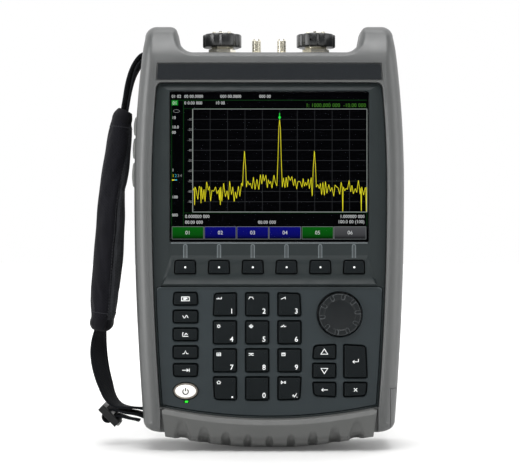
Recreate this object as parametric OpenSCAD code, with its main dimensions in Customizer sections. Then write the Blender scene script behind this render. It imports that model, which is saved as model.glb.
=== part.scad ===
// Handheld spectrum analyzer: rugged portrait case with two horns that guard the
// top connectors, a dark face panel with a display, soft keys, keypad and jog knob,
// a ribbed base bumper, a padded hand strap, an input door, a battery door and a tilt stand.
// Millimetres. +Z up, the face looks along -Y, origin at the middle of the base.

/* [Case] */
// Half width of the case at its widest level
case_hw = 94; // [92:0.5:96]
// Level of the widest part of the barrel outline
belly_z = 178; // [170:1:186]
// Level of the top of the horns
horn_z = 292; // [290:0.5:296]
// Level of the connector shelf between the horns
shelf_z = 270; // [269:0.5:271]
// Front crest of the case
front_y = -36; // [-37:0.5:-36]
// Back of the case
back_y = 36; // [36:0.5:38]
// Seam between the front frame and the rear case
split_y = 16; // [15.5:0.1:16.5]
// Wall thickness
wall = 3; // [2.6:0.1:3.4]

/* [Face] */
// Width of the rails beside the face panel
rail_w = 15.2; // [14.6:0.1:15.6]
// Front of the face panel
panel_y = -32.2; // [-33:0.1:-32]
// Display aperture width
lcd_w = 133.6; // [130:0.1:135]
// Display aperture height
lcd_h = 100.9; // [98:0.1:102]
// Middle of the display aperture
lcd_z = 192.4; // [191.5:0.1:193]

/* [Keys] */
// Gap round each key
key_gap = 0.4; // [0.3:0.05:0.5]
// Key travel
key_travel = 1.2; // [0.8:0.1:1.2]
// How far the keys stand above the keypad panel
key_proud = 1.9; // [1.5:0.1:2.4]
// Jog knob radius
knob_r = 14.3; // [13:0.1:14.6]

/* [Connectors] */
// Distance of the radio ports from the middle
port_x = 32.5; // [31:0.5:34]
// Distance of the small jacks from the middle
jack_x = 8.7; // [8:0.1:10]
// Radio port barrel radius
port_r = 7.9; // [7.8:0.05:8]
// Small jack thread radius
jack_r = 3.175; // [3.1:0.005:3.2]

/* [Stand] */
// Half width of the tilt stand
stand_hw = 38; // [30:1:39]
// Level of the stand's hinge
stand_z = 146; // [140:1:148]

/* [Hidden] */
$fn = 48;
conn_y = -2;
kp_y = -31.6;     // front of the keypad panel
kp_back = -28.7;  // back of the keypad panel
door_z0 = 114;
door_z1 = 200;
door_ax = 92.1;   // input door hinge
door_ay = 8.8;
notch_x = 81.3;   // battery door notch
notch_z = 43.5;
knob_x = 47.4;
knob_z = 92.9;
stand_y = 33.6;
screw_at = [[75, 281], [-75, 281], [84, 215], [-84, 215], [81, 60], [-81, 60]];

// keys: name, x, z, width, height, corner radii (right top, left top, left bottom, right bottom)
key_rows = [99.7, 80.8, 61.9, 43];
soft_z = 124.8;
SOFT = [for (i = [0:5]) [(i - 2.5) * 22.7 + 0.2, soft_z, 14.8, 9.4, [1.6, 1.6, 1.2, 1.2]]];
FUNC = [for (i = [0:4]) [-56.4, 103.4 - 12 * i, 16.8, 8.6,
        i == 0 ? [2.6, 2.6, 1, 1] : i == 4 ? [1, 1, 2.6, 2.6] : [1.1, 1.1, 1.1, 1.1]]];
function digit_at(c, r) = [-8.15 + 21.75 * (c - 1), key_rows[r], 15.6, 15.6,
        [c == 2 && r == 0 ? 3.4 : 1.2, c == 0 && r == 0 ? 3.4 : 1.2, c == 0 && r == 3 ? 3.4 : 1.2, c == 2 && r == 3 ? 3.4 : 1.2]];
UP = [37, 67.8, 15.6, 9.8, [1.2, 3.2, 1.2, 1.2]];
DOWN = [37, 55, 15.6, 9.8, [1.2, 1.2, 1.2, 1.2]];
BACK = [37, 42.2, 15.6, 9.8, [1.2, 1.2, 3.2, 1.2]];
ENTER = [58, 61.4, 15.8, 22.6, [3.2, 1.2, 1.2, 1.2]];
ESC = [58, 42.2, 15.8, 9.8, [1.2, 1.2, 1.2, 3.2]];
POWER = [-56.3, 41.3, 16, 10.6, [0, 0, 0, 0]];
DIGITS = [for (r = [0:3]) for (c = [0:2]) digit_at(c, r)];
PANEL_KEYS = concat(FUNC, DIGITS, [UP, DOWN, BACK, ENTER, ESC]);

// ---------- outlines ----------
function w(z) = z < belly_z ? case_hw - 0.00026 * pow(belly_z - z, 2) : case_hw - 0.00068 * pow(z - belly_z, 2);
function hwp(z) = w(z) - rail_w;
function zarc(x) = 21.5 + x * x / 674;
function arc(cx, cz, r, a0, a1, n) = [for (i = [0:n]) let (a = a0 + (a1 - a0) * i / n) [cx + r * cos(a), cz + r * sin(a)]];
function flip(p) = [for (i = [len(p) - 1:-1:0]) [-p[i][0], p[i][1]]];
function cut_ends(p) = [for (i = [1:len(p) - 2]) p[i]];

// right half of the case outline, from the bottom corner to the shelf
right_half = concat(
    arc(w(24) - 12, 23, 12, -90, 0, 6),
    [for (z = [40:20:260]) [w(z), z]],
    [[w(273), 273]],
    arc(w(284) - 8, horn_z - 8, 8, 0, 90, 6),
    arc(69, horn_z - 5, 5, 90, 168, 4),
    arc(53.2, shelf_z + 9, 9, -12, -90, 6));
outline = concat(right_half, flip(right_half));
NO = len(outline);
function lateral(p) = p[1] < 23 ? 4 + (p[1] - 11) / 2 : p[1] > 262 && abs(p[0]) < 63.5 ? 8 : p[1] > 286 && abs(p[0]) < 72 ? 4.6 : p[1] > 283 ? 7.5 : 10;
function normal(i) = let (t = outline[(i + 1) % NO] - outline[(i + NO - 1) % NO]) [t[1], -t[0]] / norm(t);
function ring(f, k) = [for (i = [0:NO - 1]) outline[i] - normal(i) * f * k * lateral(outline[i])];

// flat end of the case: strips across the body, then each horn by itself
function opp(i) = NO - 1 - i;
horn_cap = concat([for (j = [32:37]) [18, j, j + 1]], [[18, 19, 32], [19, 20, 32], [20, 31, 32]],
    [for (j = [20:25]) [j, j + 1, 31]], [for (j = [27:30]) [26, j, j + 1]]);
cap = concat([for (i = [0:17]) each [[i, i + 1, opp(i + 1)], [i, opp(i + 1), opp(i)]]],
    [[18, 38, opp(38)], [18, opp(38), opp(18)]], horn_cap, [for (t = horn_cap) [opp(t[0]), opp(t[2]), opp(t[1])]]);

// the sides and the tops of the horns draw in towards the front of the case
function drawn(p, y) = let (q = max(0, min(1, (split_y - y) / split_y)), f = max(0, -y), t = max(0, min(1, (p[1] - 272) / 10)))
    [p[0] * (1 - 0.003 * q - 0.00095 * f), y, p[1] - t * (1.4 * q + 0.1 * f)];
// solid between flat caps through rings of the outline: each layer is [inset share, y]
module rings(layers, k) {
    pts = [for (l = layers) for (p = ring(l[0], k)) drawn(p, l[1])];
    last = (len(layers) - 1) * NO;
    polyhedron(pts, concat(
        [for (t = cap) [t[2], t[1], t[0]]],
        [for (j = [0:len(layers) - 2]) for (i = [0:NO - 1]) let (a = j * NO + i, b = j * NO + (i + 1) % NO) each [[a, b, b + NO], [a, b + NO, a + NO]]],
        [for (t = cap) [last + t[0], last + t[1], last + t[2]]]), convexity = 8);
}
front_layers = concat([for (a = [90, 68, 48, 30, 14, 0]) [1 - cos(a), front_y + 10 - 10 * sin(a)]], [[0, split_y]]);
rear_layers = concat([[0, split_y + 0.15]], [for (a = [0, 20, 42, 64, 90]) [1 - cos(a), back_y - 8 + 8 * sin(a)]]);
module front_blank() { rings(front_layers, 1); }
module rear_blank() { rings(rear_layers, 0.8); }

// plate between two depths from a front view
module ext(y0, y1) { translate([0, y1, 0]) rotate([90, 0, 0]) linear_extrude(height = y1 - y0) children(); }
module along_y(x, z, r, y0, y1) { translate([x, y1, z]) rotate([90, 0, 0]) cylinder(r = r, h = y1 - y0); }
module along_x(y, z, r, x0, x1) { translate([x0, y, z]) rotate([0, 90, 0]) cylinder(r = r, h = x1 - x0); }
module box(x0, x1, y0, y1, z0, z1) { translate([x0, y0, z0]) cube([x1 - x0, y1 - y0, z1 - z0]); }

function side_points(d, zs) = [for (z = zs) [hwp(z) + d, z]];
function panel_half(d) = concat(
    [for (i = [0:6]) let (x = (hwp(31) + d) * i / 6) [x, zarc(x) - d]],
    side_points(d, [46:22:222]),
    arc(hwp(244.5) - 4, 244.5, 4 + d, 0, 90, 5), [[0, 248.5 + d]]);
module panel_2d(d) { h = panel_half(d); polygon(concat(h, cut_ends(flip(h)))); }
function keypad_half(d) = concat(
    [for (i = [0:6]) let (x = (hwp(33) - 1.4 + d) * i / 6) [x, zarc(x) + 1.4 - d]],
    side_points(d - 1.4, [52:18:90]),
    arc(hwp(108.8) - 3.9, 108.8, 2.5 + d, 0, 90, 4), [[0, 111.3 + d]]);
module keypad_2d(d) { h = keypad_half(d); polygon(concat(h, cut_ends(flip(h)))); }
function cavity_half(d) = concat([[0, 14], [72, 14], [80 - d, 17], [w(28) - wall - 0.5 - d, 27]], [for (z = [46:20:246]) [w(z) - wall - d, z]], [[w(254) - wall - d, 254], [73 - d, shelf_z - wall], [0, shelf_z - wall]]);
module cavity_2d(d) { h = cavity_half(d); polygon(concat(h, cut_ends(flip(h)))); }
module band_2d(z0, z1, d = 0) { intersection() { cavity_2d(d); translate([-100, z0]) square([200, z1 - z0]); } }
function seal_half(d) = concat([[0, 46.6 - d]], [for (z = [46.6 - d, 66, 86, 106, 126, 146, 166, 186, 206, 226, 246]) [w(z) - 2.1 + d, z]], [[w(257) - 2.1 + d, 257], [74 + d, 267.9 + d], [0, 267.9 + d]]);
module seal_2d(d0, d1) { difference() { a = seal_half(d1); polygon(concat(a, cut_ends(flip(a)))); b = seal_half(d0); polygon(concat(b, cut_ends(flip(b)))); } }

// rectangle with four corner radii
function rr(k, g) = let (x = k[2] / 2 + g, z = k[3] / 2 + g, r = [for (q = k[4]) max(q + g, 0.2)]) [for (p = concat(
    arc(x - r[0], z - r[0], r[0], 0, 90, 4), arc(r[1] - x, z - r[1], r[1], 90, 180, 4),
    arc(r[2] - x, r[2] - z, r[2], 180, 270, 4), arc(x - r[3], r[3] - z, r[3], 270, 360, 4))) p + [k[0], k[1]]];
function oval(k, g) = [for (i = [0:31]) [k[0] + (k[2] / 2 + g) * cos(i * 11.25), k[1] + (k[3] / 2 + g) * sin(i * 11.25)]];

// ---------- case ----------
// battery door notch and its guide groove
module notch(g) {
    box(notch_x + g, 120, -60, 60, -5, notch_z - g);
}
module strap_pockets() {
    box(-120, -79.5, -11.5, 11.5, 263.5, 275.5);
    box(-120, -79.5, -11.5, 11.5, 16.5, 31.5);
    for (z = [269, 23]) along_y(-84, z, 1.6, -15, 15);
}
module front_frame() color([0.42, 0.43, 0.43]) difference() {
    front_blank();
    // inside, with the bosses and the wall above the battery bay left standing
    difference() {
        union() {
            ext(-8, split_y + 1) band_2d(14, 268);
            ext(-24, -7.9) band_2d(14, 268, 2.2);
        }
        for (s = screw_at) if (s[1] < 270) along_y(s[0], s[1], 8, 0, split_y + 2);
        box(-100, 100, -20, split_y + 2, 44.5, 47.5);
        box(-100, -76, -30, split_y + 2, 0, 44.6);
    }
    ext(-40, -27) panel_2d(0.4);
    ext(-27.5, -23.5) panel_2d(-3);
    box(-75.2, 75.2, -40, -34.8, 250.5, 261.5);
    // bumper seat
    box(-73.2, 73.2, -40, -30.5, 5, 30);
    // top connectors
    for (s = [-1, 1]) {
        translate([s * port_x, conn_y, 260]) cylinder(r = 8.3, h = 20);
        translate([s * jack_x, conn_y, 260]) cylinder(r = 3.4, h = 20);
    }
    // input door opening and hinge seats
    box(80, 120, -14.4, 11.4, door_z0 - 0.4, door_z1 + 0.4);
    translate([door_ax, door_ay, door_z0 - 3]) cylinder(r = 0.85, h = door_z1 - door_z0 + 6);
    // side plugs
    for (c = side_covers) box(-120, -85, -8.2, 8.2, c[0] - c[1] - 0.2, c[0] + c[1] + 0.2);
    strap_pockets();
    notch(0);
    box(77.8, 90, -26.3, -24.2, 0, 42.4);
    ext(split_y - 1.2, split_y + 1) seal_2d(-0.1, 1.4);
    for (s = screw_at) along_y(s[0], s[1], 1.45, 3, split_y + 1);
}
module rear_case() color([0.40, 0.41, 0.41]) difference() {
    rear_blank();
    difference() {
        ext(split_y - 1, back_y - wall) band_2d(14, 268);
        for (s = screw_at) if (s[1] < 270) along_y(s[0], s[1], 8, split_y - 2, back_y);
        box(-100, 100, split_y - 2, back_y, 44.5, 47.5);
        box(-100, -76, split_y - 2, back_y, 0, 44.6);
        box(-stand_hw - 9, stand_hw + 9, 28, back_y, 33, stand_z + 10);
    }
    // stand recess and its trunnion seats
    box(-stand_hw - 1.2, stand_hw + 1.2, 31, 60, 37, stand_z + 4);
    box(-14, 14, 31, 60, 33.5, 40);
    along_x(stand_y, stand_z, 1.56, -stand_hw - 5.2, stand_hw + 5.2);
    // bumper seat
    ext(30.5, 60) polygon(concat([[-73.2, 0]], [[73.2, 0]], [for (i = [6:-1:-6]) let (x = 73.2 * i / 6) [x, zarc(x) - 0.5]]));
    notch(0);
    for (s = screw_at) { along_y(s[0], s[1], 1.7, 0, 60); along_y(s[0], s[1], 3.4, 31.4, 60); }
}
function base_z(x) = abs(x) < 28 ? 0 : (x * x - 784) / 571;
function flute_top(i) = 8 + i * i * 0.47;
module bottom_bumper() color([0.30, 0.30, 0.30]) difference() {
    intersection() {
        ext(-37, 37) polygon(concat(
            [for (x = [-69.6, -60, -50, -40, -28, 28, 40, 50, 60, 69.6]) [x, base_z(x)]],
            [for (i = [6:-1:-6]) let (x = 72.4 * i / 6) [x, zarc(x) - 0.9]]));
        translate([-80, 0, 0]) rotate([90, 0, 90]) linear_extrude(height = 160) polygon(concat(
            [[front_y, 40]], arc(front_y + 8, 8, 8, 180, 270, 6), arc(back_y - 8, 8, 8, 270, 360, 6), [[back_y, 40]]));
    }
    box(-80, 80, -30.8, 30.8, 10.7, 60);
    // finger flutes round the front and rear lower edges
    for (i = [-4:4]) for (s = [0, 1]) mirror([0, s, 0])
        translate([i * 14.65, front_y - 4.67, flute_top(i)]) rotate([45, 0, 0]) translate([0, 0, -30]) cylinder(r = 3.3, h = 60);
}
module name_strip() color([0.13, 0.14, 0.15]) box(-75, 75, -35.9, -34.8, 250.7, 261.3);
module case_gasket() color([0.1, 0.1, 0.1]) ext(split_y - 1.2, split_y + 0.1) seal_2d(0, 1.2);
module case_screws() color([0.55, 0.55, 0.56]) for (s = screw_at) difference() {
    union() {
        along_y(s[0], s[1], 3.1, 31.4, 33.8);
        along_y(s[0], s[1], 1.4, 5, 31.6);
    }
    translate([s[0], 32.4, s[1]]) rotate([-90, 0, 0]) cylinder(r = 1.5, h = 5, $fn = 6);
}
// rubber covers one above the other on the left side: middle height, half height
side_covers = [[221.3, 6.4], [205.9, 7.1], [187.8, 8.4]];
module side_plugs() color([0.40, 0.41, 0.41]) for (c = side_covers) difference() {
    ext(-8, 8) polygon(concat(
        [for (i = [-4:4]) let (z = c[0] + c[1] * i / 4) [-w(z) - 0.2 - 0.7 * (1 - i * i / 16), z]],
        [[-86, c[0] + c[1]], [-86, c[0] - c[1]]]));
    // thumb notch
    box(-98, -w(c[0]) + 0.3, -4, 4, c[0] - c[1] - 1, c[0] - c[1] + 0.9);
}

// ---------- face ----------
lcd_box = [lcd_w / 2, lcd_z - lcd_h / 2, lcd_z + lcd_h / 2];
function ramp_y(z) = panel_y - 2.6 * (132.6 - z) / 19.2;
module face_panel() color([0.20, 0.225, 0.235]) difference() {
    union() {
        ext(panel_y, -27.2) panel_2d(0);
        // shelf that carries the soft keys, rising towards its lower edge
        intersection() {
            translate([-80, 0, 0]) rotate([90, 0, 90]) linear_extrude(height = 160) polygon([[panel_y + 0.5, 132.6], [panel_y, 132.6], [panel_y - 2.6, 113.4], [panel_y + 0.5, 112.2]]);
            ext(-40, -27.2) polygon([[-72.6, 112], [72.6, 112], [66.6, 133], [-66.6, 133]]);
        }
    }
    ext(-40, -20) translate([0, lcd_z]) square([lcd_w, lcd_h], center = true);
    ext(-30.6, -20) translate([0, lcd_z]) square([lcd_w + 4.8, lcd_h + 3.4], center = true);
    box(-72, 72, -29.3, -20, 136.6, 245.7);
    ext(-40, -20) keypad_2d(0.25);
    for (k = SOFT) ext(-40, -20) polygon(rr(k, key_gap));
    box(-67.6, 67.6, kp_back, -20, 117.6, 132.2);
}
module keypad_panel() color([0.175, 0.195, 0.205]) ext(kp_y, kp_back) difference() {
    keypad_2d(0);
    for (k = PANEL_KEYS) polygon(rr(k, key_gap));
    polygon(oval(POWER, key_gap));
    translate([knob_x, knob_z]) circle(r = knob_r + 1);
    translate([-55.8, 33.9]) square([3.2, 1.8], center = true);
}
module display_window() color([0.05, 0.06, 0.07, 0.4]) box(-lcd_w / 2 - 2.2, lcd_w / 2 + 2.2, -30.5, -29.4, lcd_box[1] - 1.5, lcd_box[2] + 1.5);
module lcd_module() color([0.03, 0.03, 0.04]) box(-71.5, 71.5, -29.2, -23.2, 137, 245.2);
module power_led() color([0.1, 0.8, 0.2]) { box(-57.3, -54.3, -31.7, -27, 33.1, 34.7); }
module key_mat() color([0.35, 0.35, 0.36]) difference() {
    union() {
        box(-69.5, 69.5, -25.7, -24.8, 36, 133.5);
        for (k = concat(PANEL_KEYS, SOFT, [POWER])) along_y(k[0], k[1], 2.2, -26, -25.2);
    }
    along_y(knob_x, knob_z, 5, -30, -20);
}
module keypad_board() color([0.08, 0.3, 0.16]) difference() {
    box(-69.5, 69.5, -24.7, -23.1, 36, 133.5);
    along_y(knob_x, knob_z, 3.8, -30, -20);
}

// ---------- keys ----------
module key_body(k, top, pts0, pts1) {
    ext(top, -28) polygon(pts0);
    ext(-28.4, -27.4) polygon(pts1);
}
module panel_key(k) color([0.11, 0.12, 0.125]) key_body(k, kp_y - key_proud, rr(k, 0), rr(k, 1));
module soft_key(k) color([0.11, 0.12, 0.125]) union() {
    intersection() {
        ext(-45, -28) polygon(rr(k, 0));
        translate([-80, 0, 0]) rotate([90, 0, 90]) linear_extrude(height = 160) polygon([[-27, 110], [ramp_y(110) - 1.3, 110], [ramp_y(140) - 1.3, 140], [-27, 140]]);
    }
    ext(-28.4, -27.4) polygon(rr(k, 1));
}
module power_key() color([0.93, 0.93, 0.9]) key_body(POWER, kp_y - key_proud, oval(POWER, 0), oval(POWER, 1));
module jog_knob() color([0.10, 0.11, 0.115]) difference() {
    union() {
        along_y(knob_x, knob_z, knob_r, -36.6, -29.6);
        along_y(knob_x, knob_z, 3, -29.8, -17.5);
    }
    for (i = [0:9]) translate([knob_x, -36.6, knob_z]) rotate([0, -36 * i - 7.6, 0]) translate([knob_r - 3, 0, 0]) rotate([0, 90, 0]) cylinder(r = 1.3, h = 6);
}
module encoder() color([0.6, 0.6, 0.58]) difference() {
    union() {
        along_y(knob_x, knob_z, 3.6, -28.6, -20);
        box(knob_x - 6.5, knob_x + 6.5, -23, -16.8, knob_z - 6.5, knob_z + 6.5);
    }
    along_y(knob_x, knob_z, 3.05, -40, -10);
}

// ---------- connectors on the shelf ----------
module rf_ports() color([0.78, 0.75, 0.68]) for (s = [-1, 1]) translate([s * port_x, conn_y, 0]) difference() {
    union() {
        translate([0, 0, 252]) cylinder(r = 5, h = 16);
        translate([0, 0, 266]) cylinder(r = 8, h = 5);
        translate([0, 0, shelf_z + 0.1]) cylinder(r = 9.4, h = 4.7, $fn = 6);
        translate([0, 0, 274]) cylinder(r = port_r, h = 12);
    }
    translate([0, 0, 280]) cylinder(r = 4.2, h = 10);
    translate([0, 0, 275]) cylinder(r = 0.85, h = 10);
}
module port_ring(s) color([0.06, 0.06, 0.065]) translate([s * port_x, conn_y, 275]) difference() {
    cylinder(r = 13.4, h = 9);
    translate([0, 0, -1]) cylinder(r = port_r + 0.06, h = 12);
    for (i = [0:5]) rotate(60 * i - 90 + s * 10.4) translate([16.2, 0, -1]) cylinder(r = 3.8, h = 12);
}
module sma_jacks() color([0.80, 0.78, 0.72]) for (s = [-1, 1]) translate([s * jack_x, conn_y, 0]) difference() {
    union() {
        translate([0, 0, 262]) cylinder(r = 3.1, h = 9);
        translate([0, 0, shelf_z + 0.1]) cylinder(r = 4.7, h = 1.9, $fn = 6);
        translate([0, 0, 271]) cylinder(r = jack_r, h = 11);
    }
    translate([0, 0, 277]) cylinder(r = 2.1, h = 10);
    translate([0, 0, 274]) cylinder(r = 0.55, h = 10);
}

// ---------- inside ----------
module main_board() color([0.05, 0.28, 0.14]) union() {
    box(-72, 72, -12, -10.4, 50, 250);
    box(-20, 8, -14.5, -11, 92, 120);
    box(-58, -40, -13.8, -11, 70, 82);
    box(22, 44, -14, -11, 66, 80);
    for (i = [0:4]) box(-60 + i * 12, -52 + i * 12, -13.4, -11, 128, 136);
}
module rf_module() color([0.72, 0.73, 0.75]) union() {
    box(-58, 58, -9.5, 13.5, 140, 232);
    for (s = [-1, 1]) {
        translate([s * port_x, conn_y, 231]) cylinder(r = 1.8, h = 20.8);
        translate([s * jack_x, conn_y, 231]) cylinder(r = 1.2, h = 30.8);
    }
}
module battery_pack() color([0.16, 0.16, 0.18]) difference() {
    box(-70, 76, -16, 25, 17.4, 42);
    box(70, 80, -6, 15, 24, 33);
}
module io_jacks() color([0.62, 0.62, 0.64]) difference() {
    union() {
        box(74.4, 76.2, -13, 8, 115, 199);
        box(76, 88, -11, 5, 120, 133.5);
        for (z = [142, 151]) box(76, 88, -9.5, 3.5, z, z + 5.6);
        box(76, 88, -8, 2, 162, 165.6);
        along_x(-3, 174, 3.6, 76, 88);
        along_x(-3, 187, 5, 76, 88);
    }
    box(85.5, 90, -9, 3, 121.5, 131.5);
    for (z = [142, 151]) box(85.5, 90, -8.5, 2.5, z + 0.8, z + 4.8);
    box(85.5, 90, -7.2, 1.2, 162.8, 164.8);
    along_x(-3, 174, 1.8, 85.5, 90);
    along_x(-3, 187, 3.1, 85.5, 90);
}

// ---------- doors and stand ----------
module io_door() color([0.38, 0.39, 0.39]) difference() {
    union() {
        ext(-14, door_ay) polygon(concat(
            [for (i = [0:8]) let (z = door_z0 + (door_z1 - door_z0) * i / 8) [w(z) - 2.6, z]],
            [for (i = [8:-1:0]) let (z = door_z0 + (door_z1 - door_z0) * i / 8) [w(z) - 0.05, z]]));
        translate([door_ax, door_ay, door_z0]) cylinder(r = 1.7, h = door_z1 - door_z0);
        translate([door_ax, door_ay, door_z0 - 2.5]) cylinder(r = 0.8, h = door_z1 - door_z0 + 5);
    }
    // finger scoop at the free edge
    translate([97.6, -14, 157]) cylinder(r = 5.2, h = 16, center = true);
}
module battery_door() color([0.40, 0.41, 0.41]) union() {
    difference() {
        union() { front_blank(); rings([[0, split_y - 1], [0, split_y + 1]], 1); rear_blank(); }
        box(-120, notch_x + 0.3, -60, 60, -5, 400);
        box(0, 120, -60, 60, notch_z - 0.3, 400);
        box(70, 84, -29, 29, 17, 60);
    }
    box(78.2, notch_x + 0.6, -26, -24.5, 14, 42);
}
module tilt_stand() color([0.13, 0.135, 0.14]) difference() {
    union() {
        along_x(stand_y, stand_z, 2.2, -stand_hw, stand_hw);
        box(-stand_hw, stand_hw, 32, 35.2, 44, stand_z);
        along_x(stand_y, stand_z, 1.5, -stand_hw - 4.8, stand_hw + 4.8);
    }
    // grip slots near the foot
    for (i = [0:4]) box(-18, 18, 34.3, 40, 48 + i * 4, 50 + i * 4);
}

// ---------- hand strap ----------
function leg(p, i) = p[min(i + 1, len(p) - 1)] - p[max(i - 1, 0)];
function side(p, i) = let (t = leg(p, i)) [t[1], -t[0]] / norm(t);
// flat band through points of the front view
module band(p, hy, t) {
    n = len(p);
    pts = [for (i = [0:n - 1]) let (s = side(p, i) * t / 2) each [
        [p[i][0] + s[0], -hy, p[i][1] + s[1]], [p[i][0] + s[0], hy, p[i][1] + s[1]],
        [p[i][0] - s[0], hy, p[i][1] - s[1]], [p[i][0] - s[0], -hy, p[i][1] - s[1]]]];
    polyhedron(pts, concat([[0, 1, 2, 3]],
        [for (i = [0:n - 2]) for (j = [0:3]) let (a = 4 * i + j, b = 4 * i + (j + 1) % 4) each [[a, a + 4, b + 4], [a, b + 4, b]]],
        [[4 * n - 1, 4 * n - 2, 4 * n - 3, 4 * n - 4]]), convexity = 4);
}
// oval tube: each point is [x, z, half thickness, half depth]
module sleeve(p, m) {
    n = len(p);
    c = [for (q = p) [q[0], q[1]]];
    pts = [for (i = [0:n - 1]) let (s = side(c, i)) for (j = [0:m - 1]) let (a = 360 * j / m, u = p[i][2] * cos(a), v = p[i][3] * sin(a)) [c[i][0] + s[0] * u, v, c[i][1] + s[1] * u]];
    polyhedron(pts, concat([[for (j = [0:m - 1]) j]],
        [for (i = [0:n - 2]) for (j = [0:m - 1]) let (a = m * i + j, b = m * i + (j + 1) % m) each [[a, a + m, b + m], [a, b + m, b]]],
        [[for (j = [m - 1:-1:0]) m * (n - 1) + j]]), convexity = 4);
}
upper_path = [[-87, 269.5], [-90.5, 266.5], [-94, 260], [-96.2, 251], [-97.7, 243], [-99, 236], [-99.5, 233]];
pad_path = [[-99.8, 232.6, 4.8, 13], [-101.3, 229, 6.5, 16.5], [-102.4, 225, 7.2, 18], [-104.1, 209.6, 8, 19], [-106.2, 193, 8.3, 19], [-107.9, 176, 8.5, 19], [-109.2, 159.5, 8.7, 19], [-110.7, 142.8, 8.8, 19], [-112.1, 126, 8.8, 19], [-113.4, 109.4, 8.8, 19], [-115, 92.7, 8.6, 19], [-116.8, 83, 7.6, 18], [-117.2, 80.6, 5.5, 14]];
lower_path = [[-117.3, 80.2], [-118.2, 73], [-118.4, 66], [-117.7, 58.5], [-116.1, 50.5], [-113.7, 42.5], [-110.9, 34.8], [-107.3, 30], [-102.8, 27.5], [-97.6, 26.5], [-92, 26.1], [-86.9, 25.8]];
// the free end: from the lower pin through the slider, round its middle bar and back
slide_c = [-110, 22.1];
slide_a = -44;
slide_u = [sin(slide_a), cos(slide_a)];
slide_n = [cos(slide_a), -sin(slide_a)];
slide_k = slide_c - 1.5 * slide_n;
tail_path = concat([[-87.4, 22.7], [-94, 23], [-100, 23.8], [-104.2, 25.2], [-107.4, 26.3], slide_k + 3.5 * slide_u + 4 * slide_n],
    [for (a = [0:22.5:180]) slide_k + 3.5 * (cos(a) * slide_u - sin(a) * slide_n)],
    [slide_k - 3.5 * slide_u + 4 * slide_n, [-102.4, 21.2], [-97, 19.6], [-91, 18.4]]);
module strap_webbing() color([0.07, 0.07, 0.075]) {
    union() {
        band(upper_path, 10, 2);
        difference() {
            along_y(-84, 269, 3.7, -10, 10);
            along_y(-84, 269, 1.75, -12, 12);
        }
    }
    union() {
        band(lower_path, 10, 2);
        band(tail_path, 10, 2);
        difference() {
            along_y(-84, 23, 3.9, -10, 10);
            along_y(-84, 23, 1.75, -12, 12);
        }
    }
}
module strap_pad() color([0.05, 0.05, 0.055]) sleeve(pad_path, 14);
module strap_pins() color([0.6, 0.6, 0.62]) for (z = [269, 23]) along_y(-84, z, 1.58, -14.6, 14.6);
module strap_buckle() color([0.05, 0.05, 0.05]) translate([slide_c[0], 0, slide_c[1]]) rotate([0, slide_a, 0]) difference() {
    box(-2.5, 2.5, -13.5, 13.5, -8.2, 8.2);
    for (z = [-5.1, 1.9]) box(-4, 4, -10.8, 10.8, z, z + 3.2);
    for (q = [-4, 1.5]) box(q, q + 2.5, -10.8, 10.8, -2, 2);
}

front_frame();
rear_case();
bottom_bumper();
name_strip();
case_gasket();
case_screws();
side_plugs();
face_panel();
keypad_panel();
display_window();
lcd_module();
power_led();
key_mat();
keypad_board();
for (i = [0:5]) soft_key(SOFT[i]);
for (i = [0:4]) panel_key(FUNC[i]);
for (i = [0:11]) panel_key(DIGITS[i]);
panel_key(UP);  // up_key
panel_key(DOWN);  // down_key
panel_key(BACK);  // back_key
panel_key(ENTER);  // enter_key
panel_key(ESC);  // escape_key
power_key();
jog_knob();
encoder();
rf_ports();
port_ring(-1);  // left_port_ring
port_ring(1);  // right_port_ring
sma_jacks();
main_board();
rf_module();
battery_pack();
io_jacks();
io_door();
battery_door();
tilt_stand();
strap_webbing();
strap_pad();
strap_pins();
strap_buckle();
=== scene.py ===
import math
import random

import bmesh
import bpy
import numpy as np
from mathutils import Matrix, Vector


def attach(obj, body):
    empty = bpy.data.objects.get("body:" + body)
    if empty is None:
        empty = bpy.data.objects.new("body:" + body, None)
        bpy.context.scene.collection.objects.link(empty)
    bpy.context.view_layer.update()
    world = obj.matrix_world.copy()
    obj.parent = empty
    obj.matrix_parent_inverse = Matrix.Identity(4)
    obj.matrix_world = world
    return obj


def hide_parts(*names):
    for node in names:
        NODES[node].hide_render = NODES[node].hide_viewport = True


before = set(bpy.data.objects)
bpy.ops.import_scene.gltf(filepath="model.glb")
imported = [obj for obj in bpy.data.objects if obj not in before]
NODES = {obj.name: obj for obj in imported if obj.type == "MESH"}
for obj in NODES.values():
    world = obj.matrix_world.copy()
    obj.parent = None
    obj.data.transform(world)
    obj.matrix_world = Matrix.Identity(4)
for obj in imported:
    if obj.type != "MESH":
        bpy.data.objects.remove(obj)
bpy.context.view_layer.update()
scene = bpy.context.scene
MM = 0.001
rnd = random.Random(7)


# ------------------------------------------------------------------ materials
def lin(c):
    out = []
    for v in c:
        v = v / 255.0
        out.append(v / 12.92 if v <= 0.04045 else ((v + 0.055) / 1.055) ** 2.4)
    return tuple(out)


def shade(c, k):
    return tuple(min(1.0, max(0.0, v * k)) for v in c) + (1.0,)


def new_mat(name):
    m = bpy.data.materials.new(name)
    m.use_nodes = True
    nt = m.node_tree
    nt.nodes.clear()
    out = nt.nodes.new("ShaderNodeOutputMaterial")
    b = nt.nodes.new("ShaderNodeBsdfPrincipled")
    nt.links.new(b.outputs["BSDF"], out.inputs["Surface"])
    return m, nt, b


def noise(nt, vec, size_mm, detail=3.0, rough=0.55, dims="3D"):
    n = nt.nodes.new("ShaderNodeTexNoise")
    n.noise_dimensions = dims
    n.inputs["Scale"].default_value = 1000.0 / size_mm
    n.inputs["Detail"].default_value = detail
    n.inputs["Roughness"].default_value = rough
    nt.links.new(vec, n.inputs["Vector"])
    return n.outputs["Fac"]


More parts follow.
